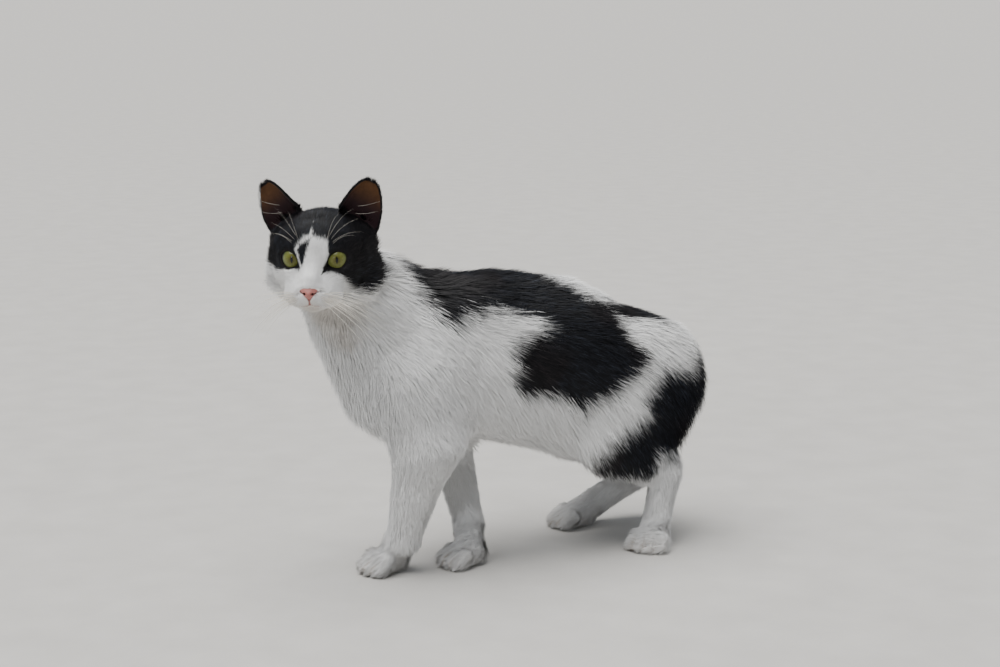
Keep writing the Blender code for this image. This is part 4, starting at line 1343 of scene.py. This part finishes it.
    def _mesh(self, strand: dict[str, Array], name: str) -> bpy.types.Mesh:
        """Joins bent and straight tufts into one mesh."""
        bent = strand["length"] > self.bend_from
        blocks = [self._bent(strand, bent), self._straight(strand, ~bent)]
        corners = np.concatenate([block[0].reshape(-1, 3) for block in blocks])
        owner = np.concatenate([np.repeat(np.nonzero(kind)[0], block[0].shape[1])
                                for kind, block in zip((bent, ~bent), blocks)])
        first = blocks[0][0].shape[0] * blocks[0][0].shape[1]
        faces = np.concatenate([blocks[0][1], blocks[1][1] + first])
        along = np.concatenate([np.tile(block[2], block[0].shape[0]) for block in blocks])
        across = np.concatenate([np.tile(block[3], block[0].shape[0]) for block in blocks])
        normals = np.concatenate([block[4].reshape(-1, 3) for block in blocks])
        corners[:, 2] = np.maximum(corners[:, 2], self.off_floor)
        mesh = bpy.data.meshes.new(name)
        mesh.vertices.add(len(corners))
        mesh.loops.add(faces.size)
        mesh.polygons.add(len(faces))
        mesh.vertices.foreach_set("co", corners.astype(np.float32).ravel())
        mesh.loops.foreach_set("vertex_index", faces.astype(np.int32).ravel())
        mesh.polygons.foreach_set("loop_start", np.arange(0, faces.size, 3, dtype=np.int32))
        mesh.update(calc_edges=True)
        mesh.shade_smooth()
        mesh.normals_split_custom_set_from_vertices(normals)
        for key in ("chance", "stain_and_shade"):
            put_values(mesh, key, strand[key][owner])
        put_values(mesh, "black", strand["black"][owner] * (1 - along) + strand["black_tip"][owner] * along)
        put_values(mesh, "along", along)
        flat = strand["flat"][owner] + np.column_stack((across, along * 2 - 1)) * self.patch
        layer = mesh.uv_layers.new(name="OFBake")
        layer.data.foreach_set("uv", flat[faces.ravel()].astype(np.float32).ravel())
        return mesh

    def _middle(self, strand: dict[str, Array], chosen: Array, part: float) -> Array:
        """Where a tuft's middle line lies at one part of its length."""
        length = strand["length"][chosen][:, None]
        lift = strand["lift"][chosen][:, None]
        rise = np.sin(lift) * (1.9 * part - 0.9 * part * part)
        ahead = strand["along"][chosen] * part * np.cos(lift * 0.5)
        sunk = strand["normal"][chosen] * (1 - part) * length * 0.035
        return strand["spot"][chosen] + length * (ahead + strand["normal"][chosen] * rise) - sunk

    def _ring(self, strand: dict[str, Array], chosen: Array, part: float) -> Array:
        """Three points round a tuft's middle line where it is widest: left, right and top."""
        middle = self._middle(strand, chosen, part)
        half = strand["width"][chosen][:, None] / 2
        aside, normal = strand["aside"][chosen], strand["normal"][chosen]
        ring = [middle - aside * half, middle + aside * half, middle + normal * half * 2 * self.thickness]
        return np.stack(ring, axis=1)

    def _soft_normals(self, strand: dict[str, Array], chosen: Array) -> tuple[Array, Array]:
        """The normals that a tuft is shaded with: on its ring, and at its ends."""
        lift = strand["lift"][chosen][:, None]
        normal, along, aside = (strand[key][chosen] for key in ("normal", "along", "aside"))
        ends = unit(normal * np.cos(lift) - along * np.sin(lift))
        side = aside * (1 - self.softness) / self.softness
        return np.stack([unit(ends - side), unit(ends + side), ends], axis=1), ends[:, None]

    def _bent(self, strand: dict[str, Array], chosen: Array) -> tuple[Array, ...]:
        """Tufts of six triangles, pointed at both ends, that bend where they are widest."""
        root, tip = (self._middle(strand, chosen, part)[:, None] for part in (0.0, 1.0))
        corners = np.concatenate((root, self._ring(strand, chosen, 0.36), tip), axis=1)
        pattern = np.array([(0, 2, 1), (0, 3, 2), (0, 1, 3), (1, 2, 4), (2, 3, 4), (3, 1, 4)])
        faces = (np.arange(len(corners))[:, None, None] * 5 + pattern).reshape(-1, 3)
        ring, ends = self._soft_normals(strand, chosen)
        normals = np.concatenate((ends, ring, ends), axis=1)
        return corners, faces, np.array((0, 0.36, 0.36, 0.36, 1.0)), np.array((0, -1, 1, 0, 0.0)), normals

    def _straight(self, strand: dict[str, Array], chosen: Array) -> tuple[Array, ...]:
        """Short tufts of four triangles."""
        tip = self._middle(strand, chosen, 1.0)[:, None]
        corners = np.concatenate((self._ring(strand, chosen, 0.0), tip), axis=1)
        pattern = np.array([(0, 1, 3), (1, 2, 3), (2, 0, 3), (0, 2, 1)])
        faces = (np.arange(len(corners))[:, None, None] * 4 + pattern).reshape(-1, 3)
        ring, ends = self._soft_normals(strand, chosen)
        normals = np.concatenate((ring, ends), axis=1)
        return corners, faces, np.array((0, 0, 0, 1.0)), np.array((-1, 1, 0, 0.0)), normals

    def build(self, skin: Skin, markings: Markings, material: bpy.types.Material) -> list[bpy.types.Object]:
        """Grows the whole coat, one piece for each of its parts."""
        draw = np.random.default_rng(self.seed)
        roots = self._roots(skin, draw)
        kept = self._kept(roots)
        roots = {key: value[kept] for key, value in roots.items()}
        strand = self._strands(roots, draw)
        loose = np.clip(strand["length"] * self.mingling, 0.0002, 0.0030)
        stray = draw.normal(0, 1, len(loose))
        for key, part in (("black", self.seen_near), ("black_tip", self.seen_far)):
            seen = strand["spot"] + strand["along"] * strand["length"][:, None] * part
            strand[key] = eased(-0.8, 0.8, markings.depth_in_black(seen) / loose + stray)
        strand["stain_and_shade"] = markings.shaded_and_stained(strand["spot"])
        pieces = []
        for number, part in enumerate(CoatPart):
            chosen = strand["part"] == number
            if not chosen.any():
                continue
            tufts = {key: value[chosen] for key, value in strand.items()}
            mesh = self._mesh(tufts, part.value)
            LOG.info("%s: %d tufts, %d triangles", part.value, chosen.sum(), len(mesh.polygons))
            pieces.append(linked(mesh, part.value, material))
        return pieces


@dataclass(frozen=True)
class Eyeball:
    """An eyeball that looks at its own point, with the clear bulge over its iris."""

    pupils: tuple[tuple[float, float, float], ...] = ((32.4, 19.2, 1.2), (32.9, -16.5, 1.2))
    bulge: float = 0.0008
    bulge_reach: float = math.radians(48)
    around: int = 72
    rings: int = 56
    iris: float = 8.5
    pupil_half_width: float = 1.0
    pupil_half_height: float = 3.1
    iris_stops: Sequence[tuple[float, Colour]] = (
        (0.00, (0.050, 0.042, 0.008)), (0.24, (0.075, 0.070, 0.012)), (0.46, (0.118, 0.124, 0.026)),
        (0.74, (0.138, 0.152, 0.040)), (0.88, (0.094, 0.112, 0.036)), (0.96, (0.020, 0.026, 0.013)),
        (1.00, (0.006, 0.005, 0.005)),
    )

    def gaze(self, side: Side) -> Matrix:
        """The way that an eye looks, in the scene: aside, up and out, as columns."""
        pupil = Vector(self.pupils[0 if side is Side.LEFT else 1]) * MM
        out = (pupil - EYE.centre(side)).normalized()
        aside = Vector((0, 0, 1)).cross(out).normalized()
        axes = Matrix((aside, out.cross(aside), out)).transposed()
        return TO_SCENE.to_3x3() @ axes

    def build(self, side: Side) -> bpy.types.Object:
        """Makes one eyeball."""
        shape = bmesh.new()
        bmesh.ops.create_uvsphere(shape, u_segments=self.around, v_segments=self.rings, radius=EYE.radius)
        for vert in shape.verts:
            off = vert.co.angle(Vector((0, 0, 1)))
            part = max(1 - (off / self.bulge_reach) ** 2, 0)
            vert.co *= 1 + self.bulge / EYE.radius * part * part
        place = Matrix.Translation(TO_SCENE @ EYE.centre(side)) @ self.gaze(side).to_4x4()
        bmesh.ops.transform(shape, matrix=place, verts=shape.verts)
        name = "eyeball_" + side.word
        return linked(mesh_of(shape, name), name, self._material(side, name))

    def _material(self, side: Side, name: str) -> bpy.types.Material:
        """A green iris with fine spokes, a dark edge and a slit pupil, under a clear wet coat."""
        look = Look(name)
        gaze = self.gaze(side)
        offset = look.offset(TO_SCENE @ EYE.centre(side))
        across = look.dot(offset, gaze.col[0]) / MM
        high = look.dot(offset, gaze.col[1]) / MM
        radius = (across * across + high * high) ** 0.5 + 0.001
        spokes = look.grain_at((across / radius, high / radius, radius * 0.05), 7.0, 4.0)
        clouds = look.speckle(0.0022, 3.0)
        part = radius / self.iris + (spokes - 0.5) * 0.10
        colour = look.scaled(look.ramp(part, self.iris_stops), spokes * 0.8 + clouds * 0.35 + 0.42)
        lean = (high.size() / self.pupil_half_height) ** 1.7
        slit = ((1 - lean) * self.pupil_half_width - across.size()).step(-0.12, 0.10)
        colour = look.mixed(slit, colour, (0.002, 0.002, 0.002))
        return look.finish(Base_Color=colour, Roughness=0.40, Specular_IOR_Level=0.05, Coat_Weight=0.9,
                           Coat_Roughness=0.015, Coat_IOR=1.36)


@dataclass(frozen=True)
class Eyelids:
    """The dark rim of the lids round one eye, rolled at the eyeball and running out under the fur.

    The section gives, for each of its points, how far it lies outside the lids' edge, its height, and
    whether that height is over the eyeball (0) or over the skin (1). Lengths are in millimetres.
    """

    steps: int = 112
    section: tuple[tuple[float, float, float], ...] = (
        (-0.05, -0.05, 0), (-0.20, 0.30, 0), (-0.10, 0.70, 0), (0.25, 0.95, 0), (0.80, 1.02, 0),
        (1.40, 0.55, 0.5), (2.20, -0.10, 1), (2.20, -0.90, 1), (1.00, -0.60, 0),
    )
    upper_swell: float = 0.30

    def _at(self, tree: BVHTree, side: Side, turn: float, point: tuple[float, float, float]) -> Vector:
        """One point of the rim, in the scene."""
        beyond, height, on_skin = point
        aside, up = (float(value) for value in EYE.edge(np.array(turn)))
        spread = math.hypot(aside, up)
        off = math.asin(min(spread / EYE.radius, 1.0)) + beyond * MM / EYE.radius
        flat = Vector((0, aside, up)) / spread
        way = Vector((math.cos(off), 0, 0)) + flat * math.sin(off)
        centre = EYE.from_local(Vector((0, 0, 0)), side)
        towards = (EYE.from_local(way, side) - centre).normalized()
        distance = tree.ray_cast(centre, towards)[3]
        skin = EYE.radius + 0.0008 if distance is None else min(distance, EYE.radius * 1.5)
        swell = 1 + self.upper_swell * max(math.sin(turn), 0.0) * (height > 0)
        return centre + towards * (EYE.radius * (1 - on_skin) + skin * on_skin + height * MM * swell)

    def build(self, side: Side, tree: BVHTree, material: bpy.types.Material) -> bpy.types.Object:
        """Makes the rim of one eye."""
        count = len(self.section)

        def place(turn: float, part: float) -> Vector:
            """Where a point of the rim goes."""
            return self._at(tree, side, turn % 1.0 * math.tau, self.section[round(part * count) % count])

        name = "lids_" + side.word
        mesh = mesh_of(bent_grid(self.steps, count, place), name)
        inner = EYE.from_local(Vector((0.0065, -EYE.open_width / 2, 0)), side)
        gap = np.linalg.norm(spots_of(mesh) - np.array(inner), axis=1)
        put_values(mesh, "corner", 1 - eased(0.0008, 0.0032, gap))
        return linked(mesh, name, material)


@dataclass(frozen=True)
class NoseLeather:
    """The nose leather, finer than its solid, with the groove down its lower half."""

    voxel: float = 0.00026
    smoothing: int = 5
    groove_half_width: float = 0.0007
    groove_depth: float = 0.0005
    groove_top: float = -0.0222
    foot: tuple[float, float] = (-0.0295, -0.0225)
    nostril_reach: float = 0.0032
    slit: tuple[tuple[float, float], ...] = ((3.2, -21.6), (4.9, -21.5), (6.3, -20.9), (7.2, -19.8))
    slit_half_width: tuple[float, float] = (0.20, 0.62)
    slit_depth: float = 0.0006

    def build(self, material: bpy.types.Material) -> bpy.types.Object:
        """Makes the nose leather."""
        solid = mesh_of(merged_solid("nose_leather"), "nose")
        shape = one_surface(linked(solid, "nose"), self.voxel)
        smoothed(shape, self.smoothing)
        mesh = mesh_of(shape, "nose")
        head = headwards(spots_of(mesh))
        middle = np.maximum(1 - np.abs(head[:, 1]) / self.groove_half_width, 0)
        low = 1 - eased(self.groove_top - 0.001, self.groove_top + 0.001, head[:, 2])
        slits = self._slits(head)
        head[:, 0] -= self.groove_depth * middle * low * (head[:, 0] > 0.050) + self.slit_depth * slits
        put_spots(mesh, from_head(head))
        put_values(mesh, "foot", 1 - eased(*self.foot, head[:, 2]))
        # The nostrils and their slits are marked for painted shade.
        put_values(mesh, "deep", np.maximum(self._deep(mesh), slits))
        return linked(mesh, "nose", material)

    def _slits(self, head: Array) -> Array:
        """How far places belong to the curved slits that run outwards from the nostrils, from 0 to 1."""
        spots = np.column_stack((np.abs(head[:, 1]), head[:, 2])) / MM
        path = np.array(self.slit)
        gap = np.min([from_segment(spots, start, end) for start, end in zip(path[:-1], path[1:])], axis=0)
        return (1 - eased(*self.slit_half_width, gap)) * (head[:, 0] > 0.047)

    def _deep(self, mesh: bpy.types.Mesh) -> Array:
        """Which places lie inside a nostril, where the far wall is close by."""
        shape = bmesh.new()
        shape.from_mesh(mesh)
        tree = BVHTree.FromBMesh(shape)
        found = np.zeros(len(mesh.vertices))
        for vert in shape.verts:
            start = vert.co + vert.normal * 1e-4
            found[vert.index] = tree.ray_cast(start, vert.normal, self.nostril_reach)[3] is not None
        shape.free()
        return found


@dataclass(frozen=True)
class Hair:
    """One long stiff hair in the head's frame, which starts one way and is swept another."""

    root: Vector
    out: Vector
    sweep: Vector
    radius: float
    sides: int = 6
    steps: int = 14

    def shape(self) -> bmesh.types.BMesh:
        """The hair as a closed tube that tapers to a point, with its pointed root in the skin."""
        onward = (self.out + self.sweep).normalized()
        aside = onward.cross(Vector((0, 0, 1))).normalized()
        above = aside.cross(onward)

        def place(turn: float, part: float) -> Vector:
            """Where a point of the tube goes."""
            angle = turn % 1.0 * math.tau
            size = self.radius * min(part * self.steps, 1.0) * max(1 - part, 0.0) ** 0.7
            middle = self.root + self.out * part + self.sweep * part * part
            return TO_SCENE @ (middle + (aside * math.cos(angle) + above * math.sin(angle)) * size)

        return bent_grid(self.sides, self.steps, place)


@dataclass
class LongHairs:
    """The whiskers, the long hairs over the eyes and the few across the ears."""

    tree: BVHTree
    seed: int = 7
    rows: int = 5
    in_row: tuple[int, ...] = (3, 4, 5, 4, 3)
    radius: float = 0.00025
    sunk: float = 0.0012
    fine: float = 0.28
    brow_bow: tuple[float, float, float] = (0.0140, 0.0, 0.0160)
    ear_bow: tuple[float, float, float] = (0.0060, 0.0, -0.0048)
    brows: Sequence[tuple[tuple[float, float], tuple[float, float, float]]] = (
        ((12.2, 17.5), (20.0, 33.0, 41.0)), ((13.5, 15.5), (19.0, 37.0, 31.0)),
        ((14.5, 14.0), (18.0, 36.5, 22.5)), ((11.4, 16.2), (26.0, 22.0, 38.0)),
        ((15.5, 12.6), (22.0, 33.0, 16.5)),
    )
    in_ears: Sequence[tuple[tuple[float, float, float], tuple[float, float, float]]] = (
        ((3.0, 31.0, 38.5), (0.0, 55.0, 45.0)), ((4.5, 29.0, 33.0), (2.0, 50.0, 35.0)),
    )

    def _front(self, across: float, high: float) -> Vector:
        """The skin's place in the head's frame at some height, seen from the front, in metres."""
        start = TO_SCENE @ Vector((0.09, across, high))
        towards = TO_SCENE.to_3x3() @ Vector((-1, 0, 0))
        return TO_HEAD @ self.tree.ray_cast(start, towards)[0]

    def whiskers(self, side: Side, draw: np.random.Generator) -> list[Hair]:
        """The whiskers of one pad, in rows, which leave it sideways and are swept down and back."""
        made = []
        for row, count in enumerate(self.in_row):
            low = row / (self.rows - 1)
            for index in range(count):
                back = (index + 0.5) / count
                root = self._front(side.value * (0.0078 + 0.0085 * back), -0.0222 - 0.0062 * low)
                out = Vector((0.42 - 0.62 * back, side.value * (0.90 + 0.10 * back), 0.10 - 0.60 * low))
                out = (out.normalized() + Vector(draw.normal(0, 0.05, 3))).normalized()
                length = float(draw.uniform(0.040, 0.060)) * (1 - 0.25 * (1 - back))
                sweep = Vector((-0.34, 0, -0.40)) * length * float(draw.uniform(0.8, 1.25))
                radius = self.radius * float(draw.uniform(0.7, 1.1))
                made.append(Hair(root - out * self.sunk, out * length, sweep, radius))
        return made

    def brow_hairs(self, side: Side, draw: np.random.Generator) -> list[Hair]:
        """The long hairs that rise from over one eye."""
        made = []
        for (across, high), tip in self.brows:
            root = self._front(side.value * across * MM, high * MM)
            end = Vector((tip[0], side.value * tip[1], tip[2])) * MM + Vector(draw.normal(0, 0.0015, 3))
            bow = Vector(self.brow_bow)
            start = root - Vector((self.sunk, 0, 0))
            made.append(Hair(start, end - root + bow, -bow, self.radius * self.fine))
        return made

    def ear_hairs(self, side: Side, draw: np.random.Generator) -> list[Hair]:
        """The few long hairs that cross one ear from its inner edge."""
        made = []
        for start, end in self.in_ears:
            mirror = Vector((1, side.value, 1)) * MM
            root, tip = Vector(start) * mirror, Vector(end) * mirror + Vector(draw.normal(0, 0.0012, 3))
            bow = Vector(self.ear_bow)
            made.append(Hair(root, tip - root + bow, -bow, self.radius * self.fine))
        return made

    def build(self, material: bpy.types.Material) -> list[bpy.types.Object]:
        """Makes the whiskers of each side, the brow hairs and the ear hairs."""
        draw = np.random.default_rng(self.seed)
        pieces = []
        groups = {"whiskers_" + side.word: self.whiskers(side, draw) for side in Side}
        groups["brow_hairs"] = [hair for side in Side for hair in self.brow_hairs(side, draw)]
        groups["ear_hairs"] = [hair for side in Side for hair in self.ear_hairs(side, draw)]
        for name, hairs in groups.items():
            mesh = joined([hair.shape() for hair in hairs], name)
            roots = np.array([TO_SCENE @ hair.root for hair in hairs])
            spots = spots_of(mesh)
            gap = np.linalg.norm(spots[:, None] - roots[None], axis=2).min(axis=1)
            put_values(mesh, "along", np.clip(gap / 0.045, 0, 1))
            pieces.append(linked(mesh, name, material))
        return pieces


@dataclass(frozen=True)
class Studio:
    """The camera at the photograph's viewing angle, the floor and the soft lights."""

    place: tuple[float, float, float] = (-0.7725, -1.387, 0.47)
    yaw: float = math.radians(-28.0)
    pitch: float = math.atan(318.5 / 1840.0)
    lens: float = 66.24
    sensor: float = 36.0
    floor_size: float = 200.0
    floor_steps: int = 80
    level_to: float = 15.0
    rise: float = 0.0015
    floor_pale: Colour = (0.60, 0.585, 0.56)
    floor_dark: Colour = (0.55, 0.535, 0.51)
    room_colour: Colour = (0.84, 0.91, 1.0)
    room_strength: float = 0.30
    key_towards: tuple[float, float, float] = (0.26, 0.02, -1.0)
    key_angle: float = math.radians(60)
    key_strength: float = 4.6
    key_colour: Colour = (1.0, 0.985, 0.96)
    aim: tuple[float, float, float] = (0.0, 0.0, 0.16)
    side_place: tuple[float, float, float] = (-1.9, -1.5, 1.2)
    side_size: float = 0.3
    side_power: float = 8.0
    side_colour: Colour = (0.94, 0.97, 1.0)

    def camera(self) -> None:
        """Sets the camera up."""
        data = bpy.data.cameras.new("camera")
        data.lens = self.lens
        data.sensor_width = self.sensor
        data.clip_end = self.floor_size * 1.5
        holder = bpy.data.objects.new("camera", data)
        holder.location = Vector(self.place) + Vector(SHIFT)
        holder.rotation_euler = (math.pi / 2 - self.pitch, 0, self.yaw)
        bpy.context.scene.collection.objects.link(holder)
        bpy.context.scene.camera = holder

    def floor(self) -> None:
        """Lays the pale floor, which rises far away so that it fills the picture."""
        shape = bmesh.new()
        steps = self.floor_steps
        bmesh.ops.create_grid(shape, x_segments=steps, y_segments=steps, size=self.floor_size / 2)
        for vert in shape.verts:
            beyond = max(vert.co.length - self.level_to, 0.0)
            vert.co.z = self.rise * beyond * beyond
        look = Look("floor")
        colour = look.ramp(look.speckle(0.05, 6.0), ((0.3, self.floor_dark), (0.7, self.floor_pale)))
        material = look.finish(Base_Color=colour, Roughness=0.75, Specular_IOR_Level=0.2)
        linked(mesh_of(shape, "floor"), "floor", material)

    def hang(self, name: str, kind: str, place: Vector, towards: Vector, **settings: object) -> None:
        """Hangs one light.

        Args:
            name: The light's name.
            kind: Blender's word for what it is.
            place: Where it hangs.
            towards: The way that it faces.
            settings: The values of the light itself.
        """
        data = bpy.data.lights.new(name, kind)
        for key, value in settings.items():
            setattr(data, key, value)
        holder = bpy.data.objects.new(name, data)
        holder.location = place
        holder.rotation_euler = towards.to_track_quat("-Z", "Y").to_euler()
        bpy.context.scene.collection.objects.link(holder)

    def light(self) -> None:
        """Lights the cat softly from above, with a weaker light from the camera's side."""
        world = bpy.data.worlds.new("room")
        bpy.context.scene.world = world
        world.use_nodes = True
        backdrop = world.node_tree.nodes["Background"]
        backdrop.inputs["Color"].default_value = (*self.room_colour, 1)
        backdrop.inputs["Strength"].default_value = self.room_strength
        self.hang("key_light", "SUN", Vector(), Vector(self.key_towards), angle=self.key_angle,
                  energy=self.key_strength, color=self.key_colour)
        place = Vector(self.side_place)
        self.hang("side_light", "AREA", place, Vector(self.aim) - place, shape="DISK",
                  size=self.side_size, energy=self.side_power, color=self.side_colour)


def dress(piece: bpy.types.Object, slot: str, *nodes: str) -> None:
    """Rides a piece on the body and hides the solids that it stands for."""
    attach(piece, BODY)
    if nodes:
        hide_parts(*nodes)
    LOG.info("%s: %d faces", piece.name, len(piece.data.polygons))


def main() -> None:
    """Builds the cat and its studio, piece by piece."""
    logging.basicConfig(level=logging.INFO, format="%(name)s %(message)s")
    studio = Studio()
    studio.camera()
    studio.floor()
    studio.light()
    colours = CoatColours()
    finishes = BareColours()
    markings = Markings()
    skin = Skin()
    dress(skin.build(markings, colours.skin()), "coat_white", *skin.flesh)
    for piece in Coat(lies=skin.lies).build(skin, markings, colours.fur()):
        dress(piece, "coat_white")
    tree = skin.tree()
    rim = finishes.lid()
    for side in Side:
        dress(Eyeball().build(side), "eye", "eye_" + side.word)
        dress(Eyelids().build(side, tree, rim), "coat_black")
    dress(NoseLeather().build(finishes.leather()), "nose_leather", "nose_leather")
    for piece in LongHairs(tree).build(finishes.whisker()):
        dress(piece, "coat_white")


if __name__ == "__main__":
    main()
